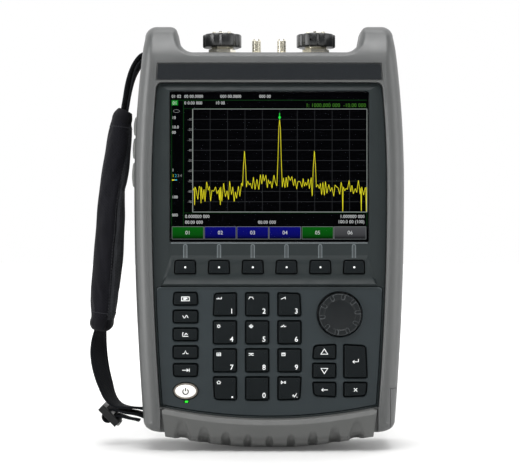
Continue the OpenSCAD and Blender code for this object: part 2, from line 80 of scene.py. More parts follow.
def ramp(nt, fac, stops):
    r = nt.nodes.new("ShaderNodeValToRGB")
    els = r.color_ramp.elements
    while len(els) < len(stops):
        els.new(0.5)
    for e, (p, c) in zip(els, stops):
        e.position = p
        e.color = c
    nt.links.new(fac, r.inputs["Fac"])
    return r.outputs["Color"]


def remap(nt, fac, a, b, lo=0.3, hi=0.7):
    r = nt.nodes.new("ShaderNodeMapRange")
    r.inputs["From Min"].default_value = lo
    r.inputs["From Max"].default_value = hi
    r.inputs["To Min"].default_value = a
    r.inputs["To Max"].default_value = b
    nt.links.new(fac, r.inputs["Value"])
    return r.outputs["Result"]


def math_node(nt, op, a, b=None, value=None):
    n = nt.nodes.new("ShaderNodeMath")
    n.operation = op
    nt.links.new(a, n.inputs[0])
    if b is not None:
        nt.links.new(b, n.inputs[1])
    elif value is not None:
        n.inputs[1].default_value = value
    return n.outputs[0]


def bump(nt, bsdf, height, strength, dist_mm):
    n = nt.nodes.new("ShaderNodeBump")
    n.inputs["Strength"].default_value = strength
    n.inputs["Distance"].default_value = dist_mm * MM
    nt.links.new(height, n.inputs["Height"])
    nt.links.new(n.outputs["Normal"], bsdf.inputs["Normal"])


def coords(nt):
    return nt.nodes.new("ShaderNodeTexCoord").outputs["Object"]


def plastic(name, rgb, rough=0.5, var=0.05, drift_mm=38.0, grain_mm=0.55, grain=0.25, rough_var=0.05,
            spec=0.5, speck=0.0, wear=0.0):
    """Moulded plastic: slow tone drift, spark-eroded grain, uneven gloss, light wear on raised edges."""
    m, nt, b = new_mat(name)
    c = lin(rgb)
    vec = coords(nt)
    slow = noise(nt, vec, drift_mm, 3.0)
    fine = noise(nt, vec, grain_mm, 4.0, 0.6)
    tone = slow
    if speck:
        tone = math_node(nt, "ADD", slow, math_node(nt, "MULTIPLY", math_node(nt, "SUBTRACT", fine, value=0.5), value=speck))
    col = ramp(nt, tone, [(0.28, shade(c, 1 - var)), (0.72, shade(c, 1 + var))])
    if wear:
        geo = nt.nodes.new("ShaderNodeNewGeometry")
        edge = remap(nt, geo.outputs["Pointiness"], 0.0, wear, 0.53, 0.60)
        mix = nt.nodes.new("ShaderNodeMix")
        mix.data_type = "RGBA"
        nt.links.new(edge, mix.inputs["Factor"])
        nt.links.new(col, mix.inputs["A"])
        mix.inputs["B"].default_value = shade(c, 1.7)
        col = mix.outputs["Result"]
    nt.links.new(col, b.inputs["Base Color"])
    mid = noise(nt, vec, 9.0, 4.0)
    nt.links.new(remap(nt, mid, rough - rough_var, rough + rough_var), b.inputs["Roughness"])
    b.inputs["Specular IOR Level"].default_value = spec
    bump(nt, b, fine, grain, 0.05)
    return m


def rubber(name, rgb, rough=0.72, var=0.08):
    return plastic(name, rgb, rough=rough, var=var, drift_mm=20, grain_mm=0.9, grain=0.35, rough_var=0.08, spec=0.35, speck=0.25)


def metal(name, rgb, rough=0.3, brushed_axis=2, var=0.10):
    """Turned or plated metal: fine lines round the part, clouded tarnish."""
    m, nt, b = new_mat(name)
    c = lin(rgb)
    vec = coords(nt)
    mp = nt.nodes.new("ShaderNodeMapping")
    s = [60.0, 60.0, 60.0]
    s[brushed_axis] = 6000.0
    mp.inputs["Scale"].default_value = s
    nt.links.new(vec, mp.inputs["Vector"])
    n = nt.nodes.new("ShaderNodeTexNoise")
    n.inputs["Scale"].default_value = 1.0
    n.inputs["Detail"].default_value = 3.0
    nt.links.new(mp.outputs["Vector"], n.inputs["Vector"])
    cloud = noise(nt, vec, 6.0, 4.0)
    nt.links.new(ramp(nt, cloud, [(0.3, shade(c, 1 - var)), (0.7, shade(c, 1 + var))]), b.inputs["Base Color"])
    b.inputs["Metallic"].default_value = 1.0
    nt.links.new(remap(nt, n.outputs["Fac"], rough - 0.08, rough + 0.10), b.inputs["Roughness"])
    bump(nt, b, n.outputs["Fac"], 0.12, 0.02)
    return m


def paint(name, rgb, rough=0.55, emit=0.0):
    """Printed ink or lit picture element, with the slight unevenness of a screen print."""
    m, nt, b = new_mat(name)
    c = lin(rgb)
    vec = coords(nt)
    f = noise(nt, vec, 1.1, 3.0)
    col = ramp(nt, f, [(0.25, shade(c, 0.93)), (0.75, shade(c, 1.05))])
    nt.links.new(col, b.inputs["Base Color"])
    nt.links.new(remap(nt, f, rough - 0.04, rough + 0.04), b.inputs["Roughness"])
    if emit:
        nt.links.new(col, b.inputs["Emission Color"])
        b.inputs["Emission Strength"].default_value = emit
    return m


def lit(name, rgb, strength=0.9, top=None, z0=0.0, z1=1.0):
    """Lit picture element behind the window. With top, the colour runs from rgb at height z0 to top at z1 (mm)."""
    m, nt, b = new_mat(name)
    vec = coords(nt)
    b.inputs["Base Color"].default_value = (0.0006, 0.0006, 0.0008, 1)
    b.inputs["Roughness"].default_value = 0.6
    b.inputs["Specular IOR Level"].default_value = 0.0
    if top is None:
        f = noise(nt, vec, 0.8, 2.0)
        col = ramp(nt, f, [(0.25, shade(lin(rgb), 0.88)), (0.75, shade(lin(rgb), 1.06))])
    else:
        sep = nt.nodes.new("ShaderNodeSeparateXYZ")
        nt.links.new(vec, sep.inputs[0])
        f = remap(nt, sep.outputs["Z"], 0.0, 1.0, z0 * MM, z1 * MM)
        col = ramp(nt, f, [(0.0, shade(lin(rgb), 1)), (0.35, shade(tuple((a + 2 * c) / 3 for a, c in zip(lin(rgb), lin(top))), 1)), (1.0, shade(lin(top), 1))])
    nt.links.new(col, b.inputs["Emission Color"])
    b.inputs["Emission Strength"].default_value = strength
    return m


def fabric(name, rgb, pitch_mm=1.0, rough=0.85, slant=0.0, depth=0.5, sheen=0.25, axis_mix=(1.0, 0.0), var=0.35):
    """Woven textile: crossing threads from two wave patterns, lint tone, soft sheen."""
    m, nt, b = new_mat(name)
    c = lin(rgb)
    vec = coords(nt)
    mp = nt.nodes.new("ShaderNodeMapping")
    mp.inputs["Rotation"].default_value = (0.0, slant, 0.0)
    nt.links.new(vec, mp.inputs["Vector"])
    waves = []
    for d in ("X", "Z"):
        wv = nt.nodes.new("ShaderNodeTexWave")
        wv.wave_type = "BANDS"
        wv.bands_direction = d
        wv.inputs["Scale"].default_value = 1000.0 / (pitch_mm * 3.1416 * 2) * 2
        wv.inputs["Distortion"].default_value = 0.6
        wv.inputs["Detail"].default_value = 1.0
        wv.inputs["Detail Scale"].default_value = 2.0
        nt.links.new(mp.outputs["Vector"], wv.inputs["Vector"])
        waves.append(wv.outputs["Fac"])
    weave = math_node(nt, "MAXIMUM", waves[0], waves[1])
    lint = noise(nt, vec, 14.0, 4.0, 0.65)
    fuzz = noise(nt, vec, 0.35, 2.0)
    tone = math_node(nt, "ADD", math_node(nt, "MULTIPLY", lint, value=0.6), math_node(nt, "MULTIPLY", weave, value=0.4))
    nt.links.new(ramp(nt, tone, [(0.25, shade(c, 1 - var)), (0.8, shade(c, 1 + var))]), b.inputs["Base Color"])
    nt.links.new(remap(nt, fuzz, rough - 0.06, min(1.0, rough + 0.08)), b.inputs["Roughness"])
    b.inputs["Specular IOR Level"].default_value = 0.10
    b.inputs["Sheen Weight"].default_value = sheen
    b.inputs["Sheen Roughness"].default_value = 0.5
    b.inputs["Sheen Tint"].default_value = (0.6, 0.62, 0.65, 1)
    height = math_node(nt, "ADD", weave, math_node(nt, "MULTIPLY", fuzz, value=0.5))
    bump(nt, b, height, depth, 0.25)
    return m


M = {}
M["case"] = plastic("case_grey_moulded", (54, 56, 56), rough=0.45, var=0.04, grain=0.07, grain_mm=0.6, rough_var=0.03, spec=1.0, wear=0.08)
M["rear"] = plastic("rear_grey_moulded", (66, 68, 68), rough=0.46, var=0.05, grain=0.15, grain_mm=0.8, spec=0.45, wear=0.12)
M["bumper"] = plastic("bumper_rubber", (78, 79, 78), rough=0.45, var=0.07, drift_mm=24, grain=0.4, grain_mm=0.9, spec=0.4, speck=0.2)
M["strip"] = plastic("strip_black_film", (22, 25, 28), rough=0.5, var=0.16, drift_mm=0.9, grain=0.4, grain_mm=0.7, spec=0.15, speck=0.9)
M["seal"] = rubber("seal_rubber", (26, 26, 27))
M["plug"] = rubber("plug_rubber", (150, 152, 150), rough=0.5)
M["panel"] = plastic("panel_slate", (30, 36, 37), rough=0.45, var=0.05, drift_mm=30, grain=0.22, grain_mm=0.5, spec=0.22)
M["keypad"] = plastic("keypad_slate", (32, 40, 43), rough=0.42, var=0.05, drift_mm=30, grain=0.22, grain_mm=0.5, spec=0.3)
M["key"] = plastic("key_black", (12, 17, 19), rough=0.45, var=0.07, drift_mm=7, grain=0.25, grain_mm=0.5, spec=0.12)
M["keywhite"] = plastic("key_white", (242, 241, 236), rough=0.4, var=0.02, drift_mm=6, grain=0.1, grain_mm=0.5)
M["bezel"] = plastic("power_bezel", (112, 106, 98), rough=0.35, var=0.08, drift_mm=5, grain=0.15, grain_mm=0.4)
M["ink"] = paint("legend_white", (236, 238, 238))
M["inkdark"] = paint("legend_dark", (20, 21, 22))
# grey ink of the printed legend outlines; the same paint also draws the painted highlight line under the display
M["inkline"] = paint("legend_grey_and_painted_highlight", (94, 102, 105))
# paint for the painted highlight line along the keypad inset's upper edge
M["painted_edge_highlight"] = paint("panel_edge_painted_highlight", (58, 66, 69), rough=0.45)
M["inkfill"] = paint("legend_fill", (44, 50, 52), rough=0.45)
M["knob"] = plastic("knob_black", (14, 18, 20), rough=0.42, var=0.12, drift_mm=6, grain=0.2, grain_mm=0.4, spec=0.22)
M["knobrim"] = plastic("knob_rim", (50, 54, 56), rough=0.4, var=0.10, drift_mm=2, grain=0.2, grain_mm=0.4, spec=0.4)
M["ring"] = plastic("ring_black", (19, 21, 22), rough=0.30, var=0.10, drift_mm=8, grain=0.12, grain_mm=0.5, spec=0.6)
M["nickel"] = metal("socket_nickel", (228, 224, 210), rough=0.28)
M["steel"] = metal("screw_steel", (165, 166, 168), rough=0.32, brushed_axis=1)
M["gold"] = metal("contact_gold", (208, 172, 96), rough=0.25)
M["ptfe"] = plastic("insulator_white", (228, 226, 218), rough=0.5, var=0.03, drift_mm=3, grain=0.1, grain_mm=0.4)
M["dark"] = plastic("inside_black", (16, 17, 18), rough=0.6, var=0.1, drift_mm=9, grain=0.2, grain_mm=0.7, spec=0.3)
M["mat"] = rubber("key_mat_rubber", (86, 87, 89))
M["board"] = plastic("board_green", (28, 84, 50), rough=0.4, var=0.22, drift_mm=3.0, grain=0.2, grain_mm=0.6, speck=0.3)
M["shield"] = metal("shield_aluminium", (186, 188, 192), rough=0.4, brushed_axis=0)
M["battery"] = plastic("battery_grey", (50, 51, 55), rough=0.5, var=0.08, drift_mm=18, grain=0.3, grain_mm=0.7)
M["stand"] = plastic("stand_black", (38, 39, 41), rough=0.5, var=0.08, drift_mm=16, grain=0.35, grain_mm=0.7, spec=0.4, wear=0.1)
M["buckle"] = plastic("buckle_black", (13, 14, 15), rough=0.42, var=0.1, drift_mm=5, grain=0.2, grain_mm=0.5, spec=0.28, wear=0.15)
M["pad"] = fabric("pad_woven", (15, 15, 19), pitch_mm=1.5, slant=0.75, depth=0.7, sheen=0.02, var=0.5)
# edge panel between the two side seams; its tone, twice the pad's, also carries a painted highlight for the light on
# that fold
M["padedge_and_highlight"] = fabric("pad_edge_panel_and_painted_highlight", (46, 47, 50), pitch_mm=1.5, slant=0.75, depth=0.6, sheen=0.04)
M["hem"] = fabric("pad_binding", (16, 16, 19), pitch_mm=0.8, slant=0.0, depth=0.5, sheen=0.03)
M["web"] = fabric("webbing_woven", (15, 17, 20), pitch_mm=1.1, slant=0.4, depth=0.7, sheen=0.04)
M["thread"] = fabric("stitch_thread", (52, 53, 56), pitch_mm=0.5, depth=0.4, sheen=0.1)
M["tag"] = fabric("strap_tag", (150, 150, 148), pitch_mm=0.8, depth=0.4, sheen=0.1, var=0.12)


def window_mat():
    m, nt, b = new_mat("window_glass")
    vec = coords(nt)
    smear = noise(nt, vec, 45.0, 4.0)
    nt.links.new(remap(nt, smear, 0.10, 0.16), b.inputs["Roughness"])
    nt.links.new(ramp(nt, smear, [(0.3, (0.002, 0.0022, 0.003, 1)), (0.7, (0.004, 0.0045, 0.006, 1))]), b.inputs["Base Color"])
    b.inputs["Specular IOR Level"].default_value = 0.01
    b.inputs["Alpha"].default_value = 0.035
    return m


M["window"] = window_mat()


# ------------------------------------------------------------------ mesh tools
class Build:
    """Collects shapes in millimetres, each with a material number."""

    def __init__(self):
        self.v, self.f, self.m = [], [], []

    def add(self, verts, faces, mat=0):
        o = len(self.v)
        self.v += [tuple(p) for p in verts]
        self.f += [tuple(i + o for i in f) for f in faces]
        self.m += [mat] * len(faces)
        return self

    def add_mesh(self, me, mat=0, fn=lambda p: p):
        self.add([fn(tuple(v.co)) for v in me.vertices], [tuple(p.vertices) for p in me.polygons], mat)
        return self


def to_mesh(name, b):
    me = bpy.data.meshes.new(name)
    me.from_pydata([(x * MM, y * MM, z * MM) for x, y, z in b.v], [], b.f)
    for k in range(max(b.m, default=0) + 1):
        me.materials.append(None)
    for p, mi in zip(me.polygons, b.m):
        p.material_index = mi
    me.validate()
    return me


def fix_normals(me):
    bm = bmesh.new()
    bm.from_mesh(me)
    bmesh.ops.recalc_face_normals(bm, faces=bm.faces)
    bm.to_mesh(me)
    bm.free()


def put(name, me, mats, body="case", replaces=(), smooth=35.0, bevel=0.0, segs=2, weighted=True, limit=35.0, recalc=True):
    """Links a finished mesh as a piece that rides on a body."""
    if isinstance(me, Build):
        me = to_mesh(name, me)
    me.name = name
    if recalc:
        fix_normals(me)
    for p in me.polygons:
        p.use_smooth = True
    if smooth is not None:
        me.set_sharp_from_angle(angle=math.radians(smooth))
    for i, m in enumerate(mats):
        if i < len(me.materials):
            me.materials[i] = M[m]
        else:
            me.materials.append(M[m])
    o = bpy.data.objects.new(name, me)
    scene.collection.objects.link(o)
    if bevel:
        mod = o.modifiers.new("edge", "BEVEL")
        mod.width = bevel * MM
        mod.segments = segs
        mod.limit_method = "ANGLE"
        mod.angle_limit = math.radians(limit)
        mod.harden_normals = True
    if weighted:
        wn = o.modifiers.new("normals", "WEIGHTED_NORMAL")
        wn.keep_sharp = True
        wn.weight = 60
    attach(o, body)
    for n in replaces:
        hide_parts(n)
    return o


def apply_mods(o):
    dg = bpy.context.evaluated_depsgraph_get()
    me = bpy.data.meshes.new_from_object(o.evaluated_get(dg), preserve_all_data_layers=True, depsgraph=dg)
    old = o.data
    o.modifiers.clear()
    o.data = me
    bpy.data.meshes.remove(old)
    return me


def boolean(me, cutters, op="DIFFERENCE"):
    """me cut by (or crossed with) each closed mesh in cutters; meshes in metres."""
    fix_normals(me)
    o = bpy.data.objects.new("tmp_body", me)
    scene.collection.objects.link(o)
    tools = []
    for c in cutters:
        if isinstance(c, Build):
            c = to_mesh("tmp_cut", c)
        fix_normals(c)
        t = bpy.data.objects.new("tmp_tool", c)
        scene.collection.objects.link(t)
        tools.append(t)
        mod = o.modifiers.new("b", "BOOLEAN")
        mod.operation = op
        mod.solver = "EXACT"
        mod.object = t
    out = apply_mods(o)
    bpy.data.objects.remove(o)
    for t in tools:
        c = t.data
        bpy.data.objects.remove(t)
        bpy.data.meshes.remove(c)
    if len(out.polygons) < 8:
        raise RuntimeError("a cut left nothing")
    return out


def box(x0, x1, y0, y1, z0, z1):
    v = [(x, y, z) for z in (z0, z1) for y in (y0, y1) for x in (x0, x1)]
    f = [(0, 2, 3, 1), (4, 5, 7, 6), (0, 1, 5, 4), (2, 6, 7, 3), (0, 4, 6, 2), (1, 3, 7, 5)]
    return v, f


def loft(rings, cap0=True, cap1=True, close=True):
    n = len(rings[0])
    v = [p for r in rings for p in r]
    f = []
    for j in range(len(rings) - 1):
        for i in range(n if close else n - 1):
            a, b = j * n + i, j * n + (i + 1) % n
            f.append((a, b, b + n, a + n))
    if cap0:
        f.append(tuple(range(n - 1, -1, -1)))
    if cap1:
        f.append(tuple((len(rings) - 1) * n + i for i in range(n)))
    return v, f


def lathe(profile, cx, cy, n=48, axis="z", cx2=None):
    """Turned shape round a vertical axis: profile is a list of (radius, height) from the bottom to the top."""
    rings = []
    for r, h in profile:
        rings.append([(cx + r * math.cos(2 * math.pi * i / n), cy + r * math.sin(2 * math.pi * i / n), h) for i in range(n)])
    return loft(rings, cap0=profile[0][0] > 1e-6, cap1=profile[-1][0] > 1e-6)


def prism_y(poly, y0, y1):
    n = len(poly)
    v = [(x, y0, z) for x, z in poly] + [(x, y1, z) for x, z in poly]
    f = [tuple(range(n)), tuple(range(2 * n - 1, n - 1, -1))]
    f += [(i, i + n, (i + 1) % n + n, (i + 1) % n) for i in range(n)]
    return v, f


def arc(cx, cz, r, a0, a1, n):
    return [(cx + r * math.cos(math.radians(a0 + (a1 - a0) * i / n)), cz + r * math.sin(math.radians(a0 + (a1 - a0) * i / n))) for i in range(n + 1)]


def round_poly(pts, radii, n=5):
    """Polygon with rounded corners; pts counter-clockwise seen from the front."""
    out, k = [], len(pts)
    for i, p in enumerate(pts):
        p = Vector(p)
        a = (Vector(pts[i - 1]) - p).normalized()
        b = (Vector(pts[(i + 1) % k]) - p).normalized()
        r = radii[i] if hasattr(radii, "__len__") else radii
        ang = a.angle(b)
        d = r / math.tan(ang / 2)
        c = p + (a + b).normalized() * (r / math.sin(ang / 2))
        s, e = p + a * d - c, p + b * d - c
        turn = s.angle(e)
        sign = 1 if s.x * e.y - s.y * e.x > 0 else -1
        for j in range(n + 1):
            t = sign * turn * j / n
            q = Vector((s.x * math.cos(t) - s.y * math.sin(t), s.x * math.sin(t) + s.y * math.cos(t)))
            out.append(tuple(c + q))
    return out


def grow(poly, d):
    """Moves a closed outline out by d (in for a negative d)."""
    n, out = len(poly), []
    area = sum(poly[i][0] * poly[(i + 1) % n][1] - poly[(i + 1) % n][0] * poly[i][1] for i in range(n))
    s = 1 if area > 0 else -1
    for i in range(n):
        p0, p1, p2 = Vector(poly[i - 1]), Vector(poly[i]), Vector(poly[(i + 1) % n])
        e1, e2 = p1 - p0, p2 - p1
        if e1.length < 1e-9:
            e1 = e2
        if e2.length < 1e-9:
            e2 = e1
        e1, e2 = e1.normalized(), e2.normalized()
        n1, n2 = Vector((e1.y, -e1.x)) * s, Vector((e2.y, -e2.x)) * s
        m = n1 + n2
        m = m / max(0.35, m.length_squared / 2)
        out.append((p1.x + m.x * d, p1.y + m.y * d))
    return out


def plate(outer, holes, y_front, y_back, bevel=0.3, res=2):
    """Flat plate with holes from outlines in the front view, all edges rounded. Returns verts and faces in mm."""
    cu = bpy.data.curves.new("tmp", "CURVE")
    cu.dimensions = "2D"
    cu.fill_mode = "BOTH"
    half = (y_back - y_front) / 2
    cu.extrude = half - bevel
    cu.bevel_depth = bevel
    cu.bevel_resolution = res
    cu.offset = -bevel
    for loop in [outer] + list(holes):
        sp = cu.splines.new("POLY")
        sp.points.add(len(loop) - 1)
        for q, (x, z) in zip(sp.points, loop):
            q.co = (x, z, 0, 1)
        sp.use_cyclic_u = True
    o = bpy.data.objects.new("tmp", cu)
    scene.collection.objects.link(o)
    dg = bpy.context.evaluated_depsgraph_get()
    me = bpy.data.meshes.new_from_object(o.evaluated_get(dg), depsgraph=dg)
    bm = bmesh.new()
    bm.from_mesh(me)
    bmesh.ops.remove_doubles(bm, verts=bm.verts, dist=1e-4)
    bmesh.ops.dissolve_degenerate(bm, dist=1e-4, edges=bm.edges)
    bm.to_mesh(me)
    bm.free()
    yc = (y_front + y_back) / 2
    v = [(p.co.x, yc - p.co.z, p.co.y) for p in me.vertices]
    f = [tuple(p.vertices) for p in me.polygons]
    bpy.data.objects.remove(o)
    bpy.data.curves.remove(cu)
    bpy.data.meshes.remove(me)
    return v, f


def flat_fill(outer, holes):
    """Triangles of an outline with holes, as 2-D points and index triples."""
    from mathutils.geometry import tessellate_polygon
    loops = [[Vector((x, z, 0)) for x, z in outer]] + [[Vector((x, z, 0)) for x, z in h] for h in holes]
    pts = [(p.x, p.y) for l in loops for p in l]
    return pts, [tuple(t) for t in tessellate_polygon(loops)]


def strokes(b, lines, width, y, x0=0.0, z0=0.0, scale=1.0, thick=0.05, mat=1, closed=False):
    """Printed lines: each polyline becomes a thin raised band on the surface at depth y (towards -Y)."""
    for ln in lines:
        pts = [Vector((x0 + p[0] * scale, z0 + p[1] * scale)) for p in ln]
        loop = (pts[0] - pts[-1]).length < 1e-6 and len(pts) > 2
        if loop:
            pts = pts[:-1]
        n = len(pts)
        left, right = [], []
        for i in range(n):
            if loop:
                a, c = pts[i - 1], pts[(i + 1) % n]
            else:
                a, c = pts[max(i - 1, 0)], pts[min(i + 1, n - 1)]
            d1 = (pts[i] - a).normalized() if (pts[i] - a).length > 1e-9 else (c - pts[i]).normalized()
            d2 = (c - pts[i]).normalized() if (c - pts[i]).length > 1e-9 else d1
            n1, n2 = Vector((-d1.y, d1.x)), Vector((-d2.y, d2.x))
            m = n1 + n2
            m = m / max(0.5, m.length_squared / 2)
            left.append(pts[i] + m * width / 2)
            right.append(pts[i] - m * width / 2)
        v, f = [], []
        for i in range(n):
            for q in (left[i], right[i]):
                v.append((q.x, y - thick, q.y))
                v.append((q.x, y + 0.02, q.y))
        for i in range(n if loop else n - 1):
            a, c = 4 * i, 4 * ((i + 1) % n)
            f += [(a, a + 2, c + 2, c), (a + 1, c + 1, c + 3, a + 3), (a, c, c + 1, a + 1), (a + 2, a + 3, c + 3, c + 2)]
        if not loop:
            f += [(0, 1, 3, 2), (4 * n - 4, 4 * n - 2, 4 * n - 1, 4 * n - 3)]
        b.add(v, f, mat)
    return b


def solid_shape(b, poly, y, thick=0.05, mat=1):
    v, f = prism_y(poly, y - thick, y + 0.02)
    b.add(v, f, mat)
    return b


def glyphs(b, text, x, z, size, y, mat=1, align="CENTER", bold=0.0, thick=0.05, squeeze=1.0, ramp_fn=None):
    """Plain figures, printed thin on the surface at depth y. x, z give the middle (or left/right end) and the mid height."""
    cu = bpy.data.curves.new("tmp", "FONT")
    cu.body = text
    cu.size = size
    cu.align_x = align
    cu.align_y = "CENTER"
    cu.offset = bold
    cu.extrude = (thick + 0.02) / 2
    cu.resolution_u = 3
    cu.space_character = 1.05
    o = bpy.data.objects.new("tmp", cu)
    scene.collection.objects.link(o)
    dg = bpy.context.evaluated_depsgraph_get()
    me = bpy.data.meshes.new_from_object(o.evaluated_get(dg), depsgraph=dg)
    zs = [v.co.y for v in me.vertices]
    mid = (min(zs) + max(zs)) / 2 if zs else 0
    yc = y - (thick - 0.02) / 2
    b.add([(x + v.co.x * squeeze, yc - v.co.z + (ramp_fn(z + v.co.y - mid) if ramp_fn else 0), z + v.co.y - mid) for v in me.vertices], [tuple(p.vertices) for p in me.polygons], mat)
    bpy.data.objects.remove(o)
    bpy.data.curves.remove(cu)
    bpy.data.meshes.remove(me)
    return b


# ------------------------------------------------------------------ outlines (mm, front view)
def w(z):
    return 94 - 0.00026 * (178 - z) ** 2 if z < 178 else 94 - 0.00068 * (z - 178) ** 2


def hwp(z):
    return w(z) - 15.2


def zarc(x):
    return 23.1 + x * x / 674


def mirror(half):
    """Closed outline from a right half that starts and ends on the middle line."""
    return list(half) + [(-x, z) for x, z in reversed(half) if abs(x) > 1e-6]


def stations():
    """Right half of the case outline with the matching point of the face opening, from the base to the shelf."""
    P, A, R, D = [], [], [], []
    cx = w(24) - 12
    n = 14
    for i in range(n):
        x = cx * i / n
        xa = x * 73.5 / cx * 0.985
        P.append((x, 12.4 + 0.9 * max(0.0, (x - 60) / 18))); A.append((xa, zarc(xa) - 0.4)); R.append(4.0); D.append(0.2)
    c0, c1, c2 = Vector((cx, 13.0)), Vector((w(14) + 0.2, 13.8)), Vector((w(21), 21))
    low = [tuple(c0 * (1 - t) ** 2 + c1 * 2 * t * (1 - t) + c2 * t * t) for t in (i / 14 for i in range(15))] + [(w(z), z) for z in (31, 35, 39, 43)]
    za0 = zarc(73.1) - 0.4
    for i, p in enumerate(low):
        t = i / len(low)
        za = za0 + (47 - za0) * t
        P.append(p); A.append((hwp(za) + 0.4, za)); R.append(min(8.4, 4 + (p[1] - 11) / 2)); D.append(0.3 + 0.5 * t)
    z = 47.0
    while z < 229.9:
        P.append((w(z), z)); A.append((hwp(z) + 0.4, z)); R.append(8.4); D.append(0.8)
        z += 3.8125
    # horn: the outer side, the corner and the top share the upper corner of the opening
    up = [(w(z), z) for z in np.linspace(230, 284, 19)] + arc(w(284) - 8, 284, 8, 0, 90, 12)[1:] + [(76, 292.0), (73.5, 292.0), (71, 292.0)]
    inner = [(hwp(z) + 0.4, z) for z in np.linspace(230, 244.4, 40)] + arc(hwp(244.5) - 4, 244.5, 4.4, 2, 88, 40)
    lens = [0.0]
    for a, c in zip(inner, inner[1:]):
        lens.append(lens[-1] + math.dist(a, c))
    ul = [0.0]
    for a, c in zip(up, up[1:]):
        ul.append(ul[-1] + math.dist(a, c))
    for p, l in zip(up, ul):
        s = l / ul[-1]
        tgt = lens[-1] * (0.62 * s + 0.38 * s * s)
        k = max(j for j in range(len(lens)) if lens[j] <= tgt + 1e-9)
        P.append(p); A.append(inner[min(k, len(inner) - 1)])
        R.append(8.4 if p[1] < 262 else 8.4 - 3.6 * min(1, (p[1] - 262) / 22)); D.append(0.8 - 0.5 * s)
    tip = arc(69, 287, 5, 90, 168, 10) + [(63.4, 284.5), (62.7, 281)] + arc(53.2, 279, 9, -12, -90, 14)
    tl = [0.0]
    for a, c in zip([up[-1]] + tip, tip):
        tl.append(tl[-1] + math.dist(a, c))
    xs = inner[-1][0]
    for i, p in enumerate(tip):
        s = tl[i + 1] / tl[-1]
        P.append(p); A.append((xs + (53.2 - xs) * s, 248.9))
        R.append(4.4 if i <= 12 else 4.4 - 0.7 * min(1, (i - 12) / 10)); D.append(0.3)
    for i in range(1, 15):
        x = 53.2 * (1 - i / 14)
        P.append((x, 270.0)); A.append((x, 248.9)); R.append(3.7); D.append(0.3)
    return P, A, R, D


def full_loop():
    P, A, R, D = stations()
    n = len(P)
    idx = list(range(n - 2, 0, -1))
    P2 = P + [(-P[i][0], P[i][1]) for i in idx]
    A2 = A + [(-A[i][0], A[i][1]) for i in idx]
    R2 = R + [R[i] for i in idx]
    D2 = D + [D[i] for i in idx]
    k = len(P2)
    for _ in range(3):
        R2 = [(R2[i - 1] + 2 * R2[i] + R2[(i + 1) % k]) / 4 for i in range(k)]
        D2 = [(D2[i - 1] + 2 * D2[i] + D2[(i + 1) % k]) / 4 for i in range(k)]

    def normals(L):
        out = []
        for i in range(k):
            a, c = L[i - 1], L[(i + 1) % k]
            j = 2
            while math.dist(a, c) < 1e-6:
                a, c = L[i - j], L[(i + j) % k]
                j += 1
            t = Vector((c[0] - a[0], c[1] - a[1])).normalized()
            out.append((t.y, -t.x))
        return out

    return P2, A2, R2, D2, normals(P2), normals(A2)


LP, LA, LR, LD, NP, NA = full_loop()
NL = len(LP)


def ring_p(k_in, y, wall=0.0):
    """Ring of the case outline moved in by a share of the edge radius plus a wall. The sides and the horn tops draw in towards the front."""
    q = min(1.0, max(0.0, (16 - y) / 16))
    f = max(0.0, -y)
    out = []
    for i in range(NL):
        d = LR[i] * k_in + wall
        x, z = LP[i][0] - NP[i][0] * d, LP[i][1] - NP[i][1] * d
        t = min(1.0, max(0.0, (LP[i][1] - 270) / 20))
        t = t * t * (3 - 2 * t)
        out.append((x * (1 - 0.003 * q - 0.00095 * f), y, z - t * (1.4 * q + 0.1 * f)))
    return out


def lean(y, z):
    """The front of the horns leans back towards its top."""
    if z < 262.5 or y > -10:
        return 0.0
    return 0.0145 * (z - 262.5) ** 2 * min(1.0, (-10 - y) / 26)


def front_shell():
    rings = [ring_p(0, 16.0, 0.45), ring_p(0, 15.5)]
    for y in (8, 0, -9, -18, -26):
        rings.append(ring_p(0, y))
    for a in np.linspace(0, 90, 13)[1:]:
        rings.append(ring_p(1 - math.cos(math.radians(a)), -26 - 10 * math.sin(math.radians(a))))
    crest = rings[-1]
    edge = 0.9
    lip = []
    for i in range(NL):
        lip.append((LA[i][0] + NA[i][0] * edge, LA[i][1] + NA[i][1] * edge))
    for t in (0.15, 0.3, 0.45, 0.6, 0.75, 0.88, 1.0):
        rings.append([(crest[i][0] + (lip[i][0] - crest[i][0]) * t, -36 + LD[i] * t ** 1.8, crest[i][2] + (lip[i][1] - crest[i][2]) * t) for i in range(NL)])
    for a in (22, 45, 68, 90):
        c, s = math.cos(math.radians(a)), math.sin(math.radians(a))
        rings.append([(LA[i][0] + NA[i][0] * edge * (1 - s), -36 + LD[i] + edge * (1 - c), LA[i][1] + NA[i][1] * edge * (1 - s)) for i in range(NL)])
    rings.append([(LA[i][0], -27, LA[i][1]) for i in range(NL)])
    rings.append([(LA[i][0] - NA[i][0] * 3.0, -27, LA[i][1] - NA[i][1] * 3.0) for i in range(NL)])
    rings.append([(LA[i][0] - NA[i][0] * 3.0, -24, LA[i][1] - NA[i][1] * 3.0) for i in range(NL)])
    rings.append(ring_p(0, -24, 3.0))
    rings.append(ring_p(0, 16.0, 3.0))
    rings.append(rings[0])
    n, k = NL, len(rings) - 1
    v = [(x, y + lean(y, z), z) for r in rings[:-1] for x, y, z in r]
    f = []
    for j in range(k):
        for i in range(n):
            a, b = j * n + i, j * n + (i + 1) % n
            c, d = ((j + 1) % k) * n + (i + 1) % n, ((j + 1) % k) * n + i
            f.append((a, b, c, d))
    return Build().add(v, f)


def rear_shell():
    rings = [ring_p(0, 33.0, 3.0), ring_p(0, 16.15, 3.0), ring_p(0, 16.15, 0.45), ring_p(0, 16.65), ring_p(0, 22), ring_p(0, 28)]
    for a in np.linspace(0, 90, 11)[1:]:
        rings.append(ring_p(0.8 * (1 - math.cos(math.radians(a))), 28 + 8 * math.sin(math.radians(a))))
    return Build().add(*loft(rings))


